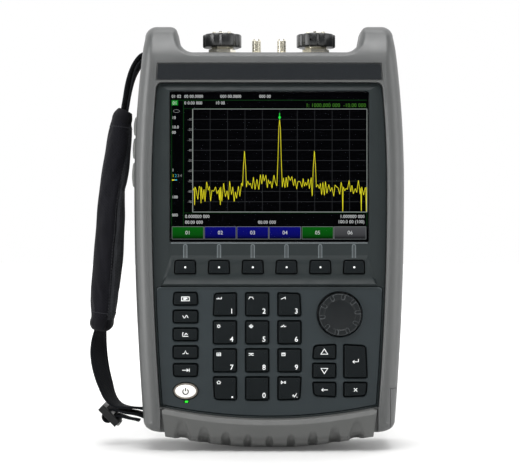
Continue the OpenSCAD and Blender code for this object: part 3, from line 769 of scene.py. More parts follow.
def blank():
    rings = [ring_p(1 - math.cos(math.radians(a)), -26 - 10 * math.sin(math.radians(a))) for a in np.linspace(90, 0, 13)]
    rings += [ring_p(0, y) for y in (-18, -9, 0, 8, 16, 22, 28)]
    rings += [ring_p(0.8 * (1 - math.cos(math.radians(a))), 28 + 8 * math.sin(math.radians(a))) for a in np.linspace(0, 90, 11)[1:]]
    return Build().add(*loft(rings))


def frustum_y(x0, x1, z0, z1, y0, y1, slant_x=0.0, flare=0.0):
    """Pocket cutter: wider at y0 by flare; its ends lean out towards the bottom by slant_x."""
    v = []
    for y, g in ((y0, flare), (y1, 0.0)):
        v += [(x0 - slant_x - g, y, z0 - g), (x1 + slant_x + g, y, z0 - g), (x1 + g, y, z1 + g), (x0 - g, y, z1 + g)]
    f = [(0, 1, 2, 3), (7, 6, 5, 4), (0, 4, 5, 1), (1, 5, 6, 2), (2, 6, 7, 3), (3, 7, 4, 0)]
    return v, f


def cyl(axis, a, b, r, lo, hi, n=40):
    """Cylinder along an axis; a, b are its place on the other two axes."""
    ring = [(math.cos(2 * math.pi * i / n) * r, math.sin(2 * math.pi * i / n) * r) for i in range(n)]
    rings = []
    for h in (lo, hi):
        if axis == "z":
            rings.append([(a + c, b + s, h) for c, s in ring])
        elif axis == "y":
            rings.append([(a + c, h, b + s) for c, s in ring])
        else:
            rings.append([(h, a + c, b + s) for c, s in ring])
    return loft(rings)


SCREWS = [(s * x, z) for x, z in ((75, 281), (84, 215), (81, 60)) for s in (-1, 1)]

# ------------------------------------------------------------------ case
cut = Build()
cut.add(*box(-73.2, 73.2, -40, -30.5, 5, 30))
cut.add(*box(80, 120, -14.4, 11.4, 113.6, 200.4))
for z in (269.5, 24.0):
    h = 6.0 if z > 100 else 7.5
    cut.add(*box(-120, -79.5, -11.5, 11.5, z - h, z + h))
cut.add(*box(81.3, 120, -60, 60, -5, 43.5))
for z, h in ((221.3, 6.4), (205.9, 7.1), (187.8, 8.4)):
    cut.add(*box(-120, -85, -8.2, 8.2, z - h - 0.2, z + h + 0.2))
for s in (-1, 1):
    cut.add(*cyl("z", s * 32.5, -2, 8.3, 260, 280))
    cut.add(*cyl("z", s * 8.7, -2, 3.4, 260, 280))
pocket = Build().add(*frustum_y(-75.0, 75.0, 250.5, 261.5, -40, -34.8, 0.8, 2.4))
fm = boolean(to_mesh("front_frame_shell", front_shell()), [cut, pocket])
put("front_frame_shell", fm, ["case"], replaces=["front_frame"], smooth=32)

cut = Build().add(*box(-39.2, 39.2, 31, 60, 37, 150))
cut1 = Build().add(*box(-14, 14, 31.2, 60, 33.5, 40))
cut2 = Build().add(*prism_y([(-73.2, 0), (73.2, 0)] + [(73.2 * i / 12, zarc(73.2 * i / 12) - 0.5) for i in range(12, -13, -1)], 30.5, 60))
cut3 = Build().add(*box(81.3, 120, -60, 60, -5, 43.5))
for x, z in SCREWS:
    cut3.add(*cyl("y", x, z, 3.4, 31.4, 60, 32))
rm = boolean(to_mesh("rear_case_shell", rear_shell()), [cut, cut1, cut2, cut3])
put("rear_case_shell", rm, ["rear"], replaces=["rear_case"], smooth=32)

# closed floor and walls of the stand recess, behind the rear wall
b = Build().add(*box(-47, 47, 28.4, 31.0, 32, 156))
for q in ((-47, -39.2, 37, 150), (39.2, 47, 37, 150), (-47, 47, 150, 156), (-47, -14, 32, 37), (14, 47, 32, 37), (-14, 14, 32, 33.5)):
    b.add(*box(q[0], q[1], 30.9, 33.05, q[2], q[3]))
# ribs on the floor, under the folded stand
for x in (-26, -13, 0, 13, 26):
    b.add(*box(x - 0.6, x + 0.6, 30.9, 31.35, 60, 138))
put("rear_stand_tray", b, ["rear"], smooth=30, weighted=False)

dm = boolean(to_mesh("battery_door_shell", blank()), [Build().add(*box(81.6, 120, -60, 60, -5, 43.2))], "INTERSECT")
dm = boolean(dm, [Build().add(*box(70, 84.3, -29, 29, 23, 60))])
b = Build().add(*box(78.2, 82.0, -26, -24.5, 22, 42))
b.add_mesh(dm, 0, lambda p: (p[0] * 1000, p[1] * 1000, p[2] * 1000))
put("battery_door_cover", b, ["case"], body="battery_door", replaces=["battery_door"], smooth=32)


# ------------------------------------------------------------------ base bumper
def base_z(x):
    return max(0.0, (x * x - 200) / 535)


def bumper():
    FL = [(i * 14.65, 8.2 + 0.6 * i * i, 2.3 + 0.22 * abs(i)) for i in range(-4, 5)]
    n = 380
    rings = []
    for q in range(n + 1):
        u = -1 + 2 * q / n
        zt = zarc(72.4 * u) - 0.9
        prof = []
        half = [(-30.8, 12.7), (-30.8, zt + 0.45), (-31.0, zt + 0.65), (-33.0, zt + 0.65), (-33.3, zt + 0.45), (-33.35, zt + 0.02), (-33.9, zt), (-34.2, zt - 0.15)]
        half += [(-34.2 - 1.45 * t, zt - 0.15 - 2.9 * t) for t in (0.25, 0.5, 0.75, 1.0)]
        half += [(-35.85, zt - 3.4), (-36.0, zt - 4.0)]
        z0 = zt - 4.0
        half += [(-36.0, z0 + (12.0 - z0) * t) for t in (0.2, 0.4, 0.6, 0.8, 1.0)]
        xb = 69.6 * u
        bz = base_z(xb)
        top = 11.9
        half += [(-36 * math.cos(math.radians(a)), bz + (top - bz) * (1 - math.sin(math.radians(a)))) for a in np.linspace(2, 84, 24)]
        loop = half + [(0, bz)] + [(-y, z) for y, z in reversed(half)]
        ring = []
        for y, z in loop:
            # ends lean in towards the bottom
            lean = (72.4 - 2.8 * min(1.0, max(0.0, (zt - z) / 20.5))) / 72.4
            ring.append(Vector((72.4 * u * lean, y, z)))
        rings.append(ring)
    sn28, cs28 = math.sin(math.radians(28)), math.cos(math.radians(28))
    for ring in rings:
        for p in ring:
            s = 1 if p.y < 0 else -1
            if abs(p.y) < 8 or p.z > 26:
                continue
            for fx, ft, fr in FL:
                # axis: x = fx, sloping 28 degrees down towards the middle
                dx = p.x - fx
                if abs(dx) > 5.5:
                    continue
                a, c = p.y * s + 41.75, p.z - ft
                perp = a * sn28 + c * cs28 - 5.8 + fr
                wall = math.sqrt(max(fr * fr - dx * dx, 0.0)) - 2.2 * max(0.0, abs(dx) - fr)
                pen = wall - perp
                soft = 0.5 * (pen + math.sqrt(pen * pen + 0.09))
                soft = 4.2 * (1 - math.exp(-soft / 4.0))
                if soft < 0.01:
                    continue
                p.y += s * soft * sn28
                p.z += soft * cs28
    return Build().add(*loft([[tuple(p) for p in r] for r in rings]))


put("bottom_bumper_shell", bumper(), ["bumper"], replaces=["bottom_bumper"], smooth=48, weighted=False)

# ------------------------------------------------------------------ name strip (bare)
sv, sf = plate(round_poly([(-75.45, 250.85), (75.45, 250.85), (74.7, 261.15), (-74.7, 261.15)], 0.5), [], -35.45, -34.8, 0.14, 2)
put("name_strip_film", Build().add(sv, sf), ["strip"], replaces=["name_strip"], smooth=30)


# ------------------------------------------------------------------ face
def rr(cx, cz, wd, ht, r, g=0.0, n=6):
    r = list(r) if hasattr(r, "__len__") else [r] * 4
    x, z = wd / 2 + g, ht / 2 + g
    r = [max(q + g, 0.2) for q in r]
    return ([(cx + a, cz + c) for a, c in arc(x - r[0], z - r[0], r[0], 0, 90, n)] + [(cx + a, cz + c) for a, c in arc(r[1] - x, z - r[1], r[1], 90, 180, n)]
            + [(cx + a, cz + c) for a, c in arc(r[2] - x, r[2] - z, r[2], 180, 270, n)] + [(cx + a, cz + c) for a, c in arc(x - r[3], r[3] - z, r[3], 270, 360, n)])


def key_poly(k, g=0.0):
    """Key outline: centre, size, then how far each corner is pulled in (TR, TL, BL, BR as dx, dz) and its radius."""
    cx, cz, wd, ht, pull, rad = k
    x, z = wd / 2, ht / 2
    c = [(x, z), (-x, z), (-x, -z), (x, -z)]
    c = [(cx + px + d[0], cz + pz + d[1]) for (px, pz), d in zip(c, pull)]
    poly = round_poly(c, rad, 5)
    return grow(poly, g) if g else poly


NOPULL = [(0, 0)] * 4
KEYS = {}
for i in range(6):
    KEYS["softkey_%d" % (i + 1)] = ((i - 2.5) * 22.7 + 0.2, 124.8, 14.8, 9.4, [(-0.45, 0), (0.45, 0), (0, 0), (0, 0)], [1.6, 1.6, 1.1, 1.1])
for i in range(5):
    pull = NOPULL
    if i == 0:
        pull = [(-0.6, 0), (0.6, 0), (0, 0), (0, 0)]
    if i == 4:
        pull = [(0, 0), (0, 0), (0.5, 0), (-0.5, 0)]
    KEYS["function_key_%d" % (i + 1)] = (-56.4, 103.4 - 12 * i, 16.8, 8.6, pull, [1.4] * 4)
DZ = (99.7, 80.8, 61.9, 43.0)
DN = ["digit_key_1", "digit_key_2", "digit_key_3", "digit_key_4", "digit_key_5", "digit_key_6", "digit_key_7", "digit_key_8", "digit_key_9", "point_key", "digit_key_0", "sign_key"]
for i, nm in enumerate(DN):
    pull, rad = [list(q) for q in NOPULL], [0.9] * 4
    if nm == "digit_key_1":
        pull[1], rad[1] = (0.8, -0.5), 2.0
    if nm == "digit_key_3":
        pull[0], rad[0] = (-0.8, -0.5), 2.0
    if nm == "point_key":
        pull[2], rad[2] = (0.8, 0.5), 2.0
    if nm == "sign_key":
        pull[3], rad[3] = (-0.8, 0.5), 2.0
    KEYS[nm] = (-8.15 + 21.75 * (i % 3 - 1), DZ[i // 3], 15.6, 15.6, pull, rad)
KEYS["up_key"] = (37, 67.8, 15.6, 9.8, [(0, 0), (0.9, -0.8), (0, 0), (0, 0)], [0.9, 2.4, 0.9, 0.9])
KEYS["down_key"] = (37, 55.0, 15.6, 9.8, NOPULL, [0.9] * 4)
KEYS["back_key"] = (37, 42.2, 15.6, 9.8, [(0, 0), (0, 0), (0.9, 0.8), (0, 0)], [0.9, 0.9, 2.4, 0.9])
KEYS["enter_key"] = (58, 61.4, 15.8, 22.6, [(-0.9, -1.0), (0, 0), (0, 0), (0, 0)], [2.4, 0.9, 0.9, 0.9])
KEYS["escape_key"] = (58, 42.2, 15.8, 9.8, [(0, 0), (0, 0), (0, 0), (-0.9, 0.8)], [0.9, 0.9, 0.9, 2.4])


def oval(cx, cz, wd, ht, g=0.0, n=56):
    return [(cx + (wd / 2 + g) * math.cos(2 * math.pi * i / n), cz + (ht / 2 + g) * math.sin(2 * math.pi * i / n)) for i in range(n)]


def panel_outline(d):
    x1 = hwp(31) + d
    half = [(x1 * i / 24, zarc(x1 * i / 24) - d) for i in range(25)]
    half += [(hwp(z) + d, z) for z in np.arange(36, 243, 5.0)]
    half += arc(hwp(244.5) - 4, 244.5, 4 + d, 0, 90, 10) + [(40, 248.5 + d), (0, 248.5 + d)]
    return mirror(half)


def keypad_outline(d):
    x1 = hwp(33) - 1.4 + d
    half = [(x1 * i / 24, zarc(x1 * i / 24) + 1.4 - d) for i in range(25)]
    half += [(hwp(z) - 1.4 + d, z) for z in np.arange(37, 106, 5.0)]
    half += arc(hwp(108.8) - 3.9, 108.8, 2.5 + d, 0, 90, 8) + [(30, 111.3 + d), (0, 111.3 + d)]
    return mirror(half)


LCD_HW, LCD_Z0, LCD_Z1 = 66.8, 192.4 - 50.45, 192.4 + 50.45


def ease(t):
    t = min(1.0, max(0.0, t))
    return t * (1.6 - 0.6 * t * t)


def panel_y(x, z):
    """Depth of the face panel's front: mitred border round the display, and the shelf with its slanted ends."""
    hw = hwp(min(z, 246))
    e_s = min(1.0, max(0.0, (hw - abs(x)) / max(1.0, hw - 68.2)))
    e_t = min(1.0, max(0.0, (248.5 - z) / 4.4))
    y = -31.15 - 1.25 * min(e_s, e_t)
    if 140.3 < z < 141.6 and abs(x) < 67.3:
        y += 0.75 * min(1.0, (z - 140.35) / 1.1) * min(1.0, (67.3 - abs(x)) / 0.8)
    if 112.0 < z < 132.61:
        u = min(1.0, (132.6 - z) / 19.2)
        rise = 1.2 * ease((132.6 - z) / 6.6) - 0.55 * ease((126.6 - z) / 8.0) + 1.9 * (max(0.0, 120.6 - z) / 7.2) ** 2
        if z < 113.4:
            rise *= max(0.0, (z - 112.0) / 1.4) ** 0.6
        xs = 66.6 + 6.0 * min(1.0, u)
        wd = 0.35 + 2.9 * math.sin(math.pi * min(1.0, max(0.0, u))) ** 0.8
        f = min(1.0, max(0.0, 1 - (abs(x) - (xs - wd)) / wd))
        f = f * f * (3 - 2 * f)
        y = y * (1 - f) + (-32.3 - rise) * f if f > 0 else y
    return y


def face_panel():
    outer = panel_outline(0)
    holes = [rr(0, 192.4, 2 * 67.3, 101.9, 1.6, 0, 5), keypad_outline(0.42)]
    holes += [key_poly(KEYS["softkey_%d" % (i + 1)], 0.3) for i in range(6)]
    pts, tris = flat_fill(outer, holes)
    bm = bmesh.new()
    vs = [bm.verts.new((x, z, 0)) for x, z in pts]
    for t in tris:
        try:
            bm.faces.new([vs[i] for i in t])
        except ValueError:
            pass

    def cut_line(p, q):
        p, q = Vector((p[0], p[1], 0)), Vector((q[0], q[1], 0))
        d = (q - p).normalized()
        bmesh.ops.bisect_plane(bm, geom=bm.verts[:] + bm.edges[:] + bm.faces[:], dist=1e-4, plane_co=p, plane_no=Vector((-d.y, d.x, 0)))

    for z in list(np.arange(113.4, 132.7, 0.8)) + [112.0, 112.25, 112.6, 113.0, 132.6, 140.35, 244.1, 246.2]:
        cut_line((-10, z), (10, z))
    for s in (-1, 1):
        cut_line((s * 68.2, 0), (s * 68.2, 100))
        cut_line((s * 66.5, 0), (s * 66.5, 100))
        cut_line((s * 67.3, 0), (s * 67.3, 100))
        cut_line((s * 75.4, 248.5), (s * 68.2, 244.1))
        for o in (0, -0.7, -1.4, -2.1, -2.8, -3.4):
            cut_line((s * (66.6 + o), 132.6), (s * (72.6 + o), 113.4))
    bmesh.ops.triangulate(bm, faces=bm.faces[:])
    bmesh.ops.recalc_face_normals(bm, faces=bm.faces[:])
    for v in bm.verts:
        x, z = v.co.x, v.co.y
        v.co = (x, panel_y(x, z), z)
    front = list(bm.faces)
    ret = bmesh.ops.extrude_face_region(bm, geom=front, use_keep_orig=True)
    for v in ret["geom"]:
        if isinstance(v, bmesh.types.BMVert):
            v.co.y = -27.3
    bmesh.ops.recalc_face_normals(bm, faces=bm.faces[:])
    me = bpy.data.meshes.new("face_panel_plate")
    for v in bm.verts:
        v.co *= MM
    bm.to_mesh(me)
    bm.free()
    return me


put("face_panel_plate", face_panel(), ["panel"], replaces=["face_panel"], smooth=4, bevel=0.42, segs=3, weighted=False, limit=50)

# legend bars under the display: thin raised outlines that run down on to the shelf
bars_and_highlight = Build()
for i in range(6):
    x = (i - 2.5) * 22.7 + 0.2
    line = [(x - 1.15, z) for z in np.linspace(130.9, 139.0, 12)] + [(x - 0.75, 139.75), (x, 140.0), (x + 0.75, 139.75)] + [(x + 1.15, z) for z in np.linspace(139.0, 130.9, 12)]
    k = len(bars_and_highlight.v)
    strokes(bars_and_highlight, [line], 0.42, 0.0, thick=0.07, mat=0)
    for j in range(k, len(bars_and_highlight.v)):
        vx, vy, vz = bars_and_highlight.v[j]
        bars_and_highlight.v[j] = (vx, vy + panel_y(x, vz), vz)
    k = len(bars_and_highlight.v)
    zs = np.linspace(131.0, 139.6, 12)
    v = [(x + q, yy, z) for z in zs for q in (-1.05, 1.05) for yy in (-0.03, 0.02)]
    f = [(0, 1, 3, 2), (44, 46, 47, 45)]
    for j in range(11):
        o = 4 * j
        f += [(o, o + 2, o + 6, o + 4), (o + 1, o + 5, o + 7, o + 3), (o, o + 4, o + 5, o + 1), (o + 2, o + 3, o + 7, o + 6)]
    bars_and_highlight.add([(vx, vy + panel_y(x, vz), vz) for vx, vy, vz in v], f, 1)
# painted highlight: a pale grey stroke along the panel edge under the display stands for the light its bevel catches
k = len(bars_and_highlight.v)
strokes(bars_and_highlight, [[(x, 140.95) for x in np.linspace(-66.2, 66.2, 40)]], 0.5, 0.0, thick=0.07, mat=0)
for j in range(k, len(bars_and_highlight.v)):
    vx, vy, vz = bars_and_highlight.v[j]
    bars_and_highlight.v[j] = (vx, vy + panel_y(vx, vz), vz)
put("legend_bars_and_painted_highlight", bars_and_highlight, ["inkline", "inkfill"], smooth=30, weighted=False)

holes = [key_poly(KEYS[k], 0.3) for k in KEYS if not k.startswith("softkey")]
holes += [oval(-56.3, 41.3, 16, 10.6, 0.5), oval(47.4, 92.9, 30.6, 30.6), rr(-55.8, 33.9, 3.2, 1.8, 0.5, 0.05, 4)]
kv, kf = plate(keypad_outline(0.12), holes, -31.6, -28.7, 0.5, 3)
kb = Build().add(kv, kf)
# painted highlight: a pale stroke along the upper edge of the inset stands for the light that edge catches
kx = hwp(108.8) - 3.9
half = [(kx + 2.05 * math.cos(math.radians(a)), 108.8 + 2.05 * math.sin(math.radians(a))) for a in range(0, 91, 10)]
strokes(kb, [half + [(x, 110.85) for x in np.linspace(kx - 3, 3 - kx, 30)] + [(-x, z) for x, z in half[::-1]]], 0.45, -31.6, thick=0.06, mat=1)
put("keypad_plate", kb, ["keypad", "painted_edge_highlight"], replaces=["keypad_panel"], smooth=30)


# ------------------------------------------------------------------ keys
def key_cap(b, poly, top, flange, dish=0.12, edge=0.55, ramp_fn=None, mat=0):
    """Key from its outline: flange, straight skirt, rounded shoulder, slightly dished top."""
    def at(p, y):
        return (p[0], y + (ramp_fn(p[1]) if ramp_fn else 0.0), p[1])

    rings = [[(p[0], -27.4, p[1]) for p in grow(poly, 1.0)], [(p[0], -28.4, p[1]) for p in grow(poly, 1.0)],
             [(p[0], -28.4, p[1]) for p in poly]]
    rings.append([at(p, top + edge) for p in poly])
    for a in (22, 45, 68, 90):
        c, s = math.cos(math.radians(a)), math.sin(math.radians(a))
        rings.append([at(p, top + edge * (1 - s)) for p in grow(poly, -edge * (1 - c))])
    rings.append([at(p, top + dish * 0.5) for p in grow(poly, -edge - 0.55)])
    cx = sum(p[0] for p in poly) / len(poly)
    cz = sum(p[1] for p in poly) / len(poly)
    for k in (0.72, 0.40, 0.12):
        rings.append([at((cx + (p[0] - cx) * k, cz + (p[1] - cz) * k), top + dish * (1.15 - 0.5 * k)) for p in poly])
    b.add(*loft(rings), mat)
    return b


def line_circle(r, n=20, a0=0, a1=360, cx=0, cz=0, sx=1.0):
    pts = [(cx + r * sx * math.cos(math.radians(a0 + (a1 - a0) * i / n)), cz + r * math.sin(math.radians(a0 + (a1 - a0) * i / n))) for i in range(n + 1)]
    return pts


def icon(name):
    """Small pictograms in place of words: boxes, waves, bars, arrows."""
    sine = [(x, 0.9 * math.sin(x * 2.2)) for x in np.linspace(-1.9, 1.9, 25)]
    return {
        "frame": [[(-2.6, -1.3), (2.6, -1.3), (2.6, 1.3), (-2.6, 1.3), (-2.6, -1.3)], [(-1.5, 0), (1.5, 0)], [(-1.5, -0.55), (0.4, -0.55)], [(-1.5, 0.55), (1.0, 0.55)]],
        "sine": [sine],
        "scale": [[(-1.9, -1.2), (-1.9, 1.2)], [(-1.9, 1.2), (-1.2, 1.2)], [(-1.9, 0.4), (-1.4, 0.4)], [(-1.9, -0.4), (-1.4, -0.4)], [(-1.9, -1.2), (1.9, -1.2)], [(-0.6, -0.6), (0.4, 0.9), (1.5, -0.2)]],
        "peak": [[(-2.0, -1.0), (-0.7, -0.8), (0, 1.2), (0.7, -0.8), (2.0, -1.0)]],
        "arrow": [[(-2.2, 0), (1.8, 0)], [(0.8, 0.9), (2.0, 0), (0.8, -0.9)], [(2.6, 1.1), (2.6, -1.1)]],
        "ruler": [[(-1.8, -0.5), (1.8, -0.5)], [(-1.8, -0.5), (-1.8, 0.7)], [(0, -0.5), (0, 0.3)], [(1.8, -0.5), (1.8, 0.7)]],
        "band": [[(-1.6, -0.7), (-0.9, 0.7), (0.9, 0.7), (1.6, -0.7)]],
        "sweep": [[(-1.7, -0.7), (1.2, 0.6), (1.2, -0.7)]],
        "gear": [line_circle(0.75, 14)] + [[(0.75 * math.cos(a), 0.75 * math.sin(a)), (1.25 * math.cos(a), 1.25 * math.sin(a))] for a in np.linspace(0, 2 * math.pi, 8)[:-1]],
        "target": [line_circle(0.95, 18), [(-1.5, 0), (1.5, 0)], [(0, -1.3), (0, 1.3)]],
        "trace": [[(-1.8, -0.6), (-1.0, 0.1), (-0.5, -0.3), (0.1, 0.8), (0.7, -0.4), (1.8, 0.0)]],
        "grid": [[(-1.3, -0.9), (1.3, -0.9), (1.3, 0.9), (-1.3, 0.9), (-1.3, -0.9)], [(0, -0.9), (0, 0.9)], [(-1.3, 0), (1.3, 0)]],
        "limit": [[(-1.7, 0.6), (1.7, 0.6)], [(-1.7, -0.6), (-0.6, -0.6), (0, 0.1), (0.6, -0.6), (1.7, -0.6)]],
        "disk": [[(-1.1, -0.9), (1.1, -0.9), (1.1, 0.9), (-1.1, 0.9), (-1.1, -0.9)], [(-0.5, 0.9), (-0.5, 0.2), (0.5, 0.2), (0.5, 0.9)]],
        "home": [[(-1.4, 0.0), (0, 1.1), (1.4, 0.0)], [(-0.9, 0.3), (-0.9, -0.9), (0.9, -0.9), (0.9, 0.3)]],
        "play": [[(-1.5, -0.8), (-1.5, 0.8), (-0.1, 0), (-1.5, -0.8)], [(0.7, -0.8), (0.7, 0.8)], [(1.4, -0.8), (1.4, 0.8)]],
        "enter": [[(1.9, 1.4), (1.9, -0.5), (-1.7, -0.5)], [(-0.7, 0.5), (-1.8, -0.5), (-0.7, -1.5)]],
        "cross": [[(-1.1, -1.1), (1.1, 1.1)], [(-1.1, 1.1), (1.1, -1.1)]],
        "left": [[(2.3, 0), (-1.6, 0)], [(-0.6, 1.0), (-1.8, 0), (-0.6, -1.0)]],
        "up": [[(-2.3, -1.6), (2.3, -1.6), (0, 1.9), (-2.3, -1.6)]],
        "down": [[(-2.3, 1.6), (0, -1.9), (2.3, 1.6), (-2.3, 1.6)]],
    }[name]


KT = -33.5
FUNC_ICON = ["frame", "sine", "scale", "peak", "arrow"]
DIGIT_ICON = {"digit_key_1": "ruler", "digit_key_2": "band", "digit_key_3": "sweep", "digit_key_4": "gear", "digit_key_5": "target",
              "digit_key_6": "trace", "digit_key_7": "grid", "digit_key_8": "limit", "digit_key_9": "disk", "point_key": "home", "sign_key": "play"}


for nm, k in KEYS.items():
    b = Build()
    poly = key_poly(k, -0.55)
    if nm.startswith("softkey"):
        top = -34.55
        key_cap(b, poly, top, None, dish=0.08, edge=0.5)
        solid_shape(b, oval(k[0] + 0.1, k[1] - 0.15, 1.35, 1.35, 0, 20), top + 0.10, 0.06)
    else:
        key_cap(b, poly, KT, None)
        y = KT + 0.10
        if nm.startswith("function"):
            strokes(b, icon(FUNC_ICON[int(nm[-1]) - 1]), 0.42, y, k[0], k[1], 1.0)
        elif nm in DIGIT_ICON or nm == "digit_key_0":
            if nm in DIGIT_ICON:
                strokes(b, icon(DIGIT_ICON[nm]), 0.4, y, k[0] - 4.1, k[1] + 4.2, 1.0)
            if nm == "point_key":
                solid_shape(b, rr(k[0] + 5.0, k[1] - 5.6, 1.1, 1.1, 0.2, 0, 3), y, 0.06)
            elif nm == "sign_key":
                strokes(b, [[(1.9, -5.2), (3.5, -5.2)], [(2.7, -4.4), (2.7, -6.0)], [(3.2, -7.2 + 0.6), (5.0, -3.6)], [(4.7, -6.3), (6.1, -6.3)]], 0.45, y, k[0] - 0.2, k[1] + 0.5)
            else:
                glyphs(b, nm[-1], k[0] + 4.6, k[1] - 4.5, 4.9, y, bold=0.02, thick=0.06)
        else:
            kind = {"up_key": "up", "down_key": "down", "back_key": "left", "enter_key": "enter", "escape_key": "cross"}[nm]
            strokes(b, icon(kind), 0.45, y, k[0], k[1] + (0.2 if nm == "enter_key" else 0), 1.0)
    put(nm + "_cap", b, ["key", "ink"], body=nm, replaces=[nm], smooth=40, weighted=False)

# power key: white oval with a bronze-grey rim and the usual symbol
b = Build()
rings = []
for g, y in ((1.0, -27.4), (1.0, -28.4), (0.0, -28.4), (0.0, -32.7), (-0.12, -33.0), (-0.35, -33.15), (-0.75, -33.05), (-0.95, -32.85)):
    rings.append([(x, y, z) for x, z in oval(-56.3, 41.3, 16, 10.6, g)])
b.add(*loft(rings, cap1=True), 0)
rings = []
for g, y in ((-0.97, -32.7), (-0.97, -32.95), (-1.1, -33.25), (-1.5, -33.45), (-2.4, -33.5)):
    rings.append([(x, y, z) for x, z in oval(-56.3, 41.3, 16, 10.6, g)])
b.add(*loft(rings), 1)
strokes(b, [line_circle(1.85, 22, 128, 412, -56.3, 41.0), [(-56.3, 41.3), (-56.3, 43.5)]], 0.78, -33.5, thick=0.05, mat=2)
put("power_key_cap", b, ["bezel", "keywhite", "inkdark"], body="power_key", replaces=["power_key"], smooth=40, weighted=False)


# ------------------------------------------------------------------ jog knob
def knob():
    KX, KZ, R0 = 47.4, 92.9, 14.3
    NA_, radii = 360, [0.0] + list(np.linspace(1.5, 8.8, 6)) + list(np.linspace(9.2, 13.4, 22)) + [13.6, 13.8, 13.95, 14.08, 14.18, 14.25, 14.3]
    notch = [7.6 + 36 * i for i in range(10)]

    def top(r, a):
        # slightly domed face, raised shoulder, rounded rim
        y = -35.9 - 0.5 * max(0.0, 1 - (r / 9.6) ** 2)
        if r > 9.6:
            t = min(1.0, (r - 9.6) / 1.6)
            y -= 0.55 * t * t * (3 - 2 * t)
        if r > 13.4:
            t = (r - 13.4) / 0.9
            y += 0.95 * (1 - math.sqrt(max(0.0, 1 - t * t)))
        best = 1e9
        for q in notch:
            d = (a - q + 180) % 360 - 180
            if abs(d) > 14:
                continue
            u = r * math.cos(math.radians(d))
            v = r * math.sin(math.radians(d))
            # U-shaped groove from the rim inwards
            if u > 11.2:
                s = abs(v) - 1.15
            else:
                s = math.hypot(u - 11.2, v) - 1.15
            best = min(best, s)
        depth = 0.0
        if best < 0.3:
            t = min(1.0, max(0.0, (0.3 - best) / 0.55))
            depth = 0.62 * t * t * (3 - 2 * t)
        return y + depth, best

    b = Build()
    v, f = [], []
    v.append((KX, top(0, 0)[0], KZ))
    marks = []
    for r in radii[1:]:
        for i in range(NA_):
            a = 360 * i / NA_
            y, s = top(r, a)
            v.append((KX + r * math.cos(math.radians(a)), y, KZ + r * math.sin(math.radians(a))))
            marks.append((r, s))
    nr = len(radii) - 1
    for i in range(NA_):
        f.append((0, 1 + (i + 1) % NA_, 1 + i))
    for j in range(nr - 1):
        for i in range(NA_):
            p, q = 1 + j * NA_ + i, 1 + j * NA_ + (i + 1) % NA_
            f.append((p, q, q + NA_, p + NA_))
    last = 1 + (nr - 1) * NA_
    base = len(v)
    prof = [(14.3, -34.8), (14.3, -32.4), (14.3, -30.0), (13.9, -29.6), (3.0, -29.6), (3.0, -17.5)]
    for r, y in prof:
        for i in range(NA_):
            a = math.radians(360 * i / NA_)
            v.append((KX + r * math.cos(a), y if y > -34.7 else max(v[last + i][1] + 0.05, y), KZ + r * math.sin(a)))
    for i in range(NA_):
        f.append((last + i, last + (i + 1) % NA_, base + (i + 1) % NA_, base + i))
    for j in range(len(prof) - 1):
        for i in range(NA_):
            p, q = base + j * NA_ + i, base + j * NA_ + (i + 1) % NA_
            f.append((p, q, q + NA_, p + NA_))
    f.append(tuple(base + (len(prof) - 1) * NA_ + i for i in range(NA_)))
    b.add(v, f)
    for k, face in enumerate(b.f):
        idx = [i - 1 for i in face if 0 < i <= len(marks)]
        if len(idx) == 4:
            s = sum(marks[i][1] for i in idx) / 4
            r = sum(marks[i][0] for i in idx) / 4
            if (-0.26 < s < 0.2 and r > 9.7 and r < 14.0) or (13.5 < r < 13.85 and s > 0.2):
                b.m[k] = 1
    return b


put("jog_knob_cap", knob(), ["knob", "knobrim"], body="jog_knob", replaces=["jog_knob"], smooth=50, weighted=False)


# ------------------------------------------------------------------ connectors
def port_ring(s):
    cx, cy = s * 32.5, -2.0
    n = 288
    base = [13.4] * n
    for i in range(6):
        ac = math.radians(60 * i - 90 + s * 10.4)
        for q in range(n):
            a = 2 * math.pi * q / n
            d = (a - ac + math.pi) % (2 * math.pi) - math.pi
            if abs(d) < 0.5:
                # ray against the flute's circle
                bq = 16.2 * math.cos(d)
                disc = bq * bq - (16.2 ** 2 - 3.8 ** 2)
                if disc > 0:
                    base[q] = min(base[q], bq - math.sqrt(disc))
    for _ in range(5):
        base = [(base[q - 1] + 2 * base[q] + base[(q + 1) % n]) / 4 for q in range(n)]

    def ring(k, z, inset=0.0):
        return [(cx + (base[q] - inset) * math.cos(2 * math.pi * q / n), cy + (base[q] - inset) * math.sin(2 * math.pi * q / n), z) for q in range(n)]

    def hole(r, z):
        return [(cx + r * math.cos(2 * math.pi * q / n), cy + r * math.sin(2 * math.pi * q / n), z) for q in range(n)]

    rings = [hole(8.3, 276.1), ring(0, 276.1, 1.0), ring(0, 276.2, 0.5), ring(0, 276.45, 0.16), ring(0, 276.9, 0.0), ring(0, 280.5, 0.0), ring(0, 284.1, 0.0),
             ring(0, 284.6, 0.16), ring(0, 284.9, 0.5), ring(0, 285.0, 1.0), hole(9.6, 285.0), hole(9.4, 284.8), hole(9.3, 283.6), hole(7.96, 283.4), hole(7.96, 276.4), hole(8.3, 276.1)]
    k = len(rings) - 1
    v = [p for r in rings[:-1] for p in r]
    f = []
    for j in range(k):
        for i in range(n):
            f.append((j * n + i, j * n + (i + 1) % n, ((j + 1) % k) * n + (i + 1) % n, ((j + 1) % k) * n + i))
    return Build().add(v, f)


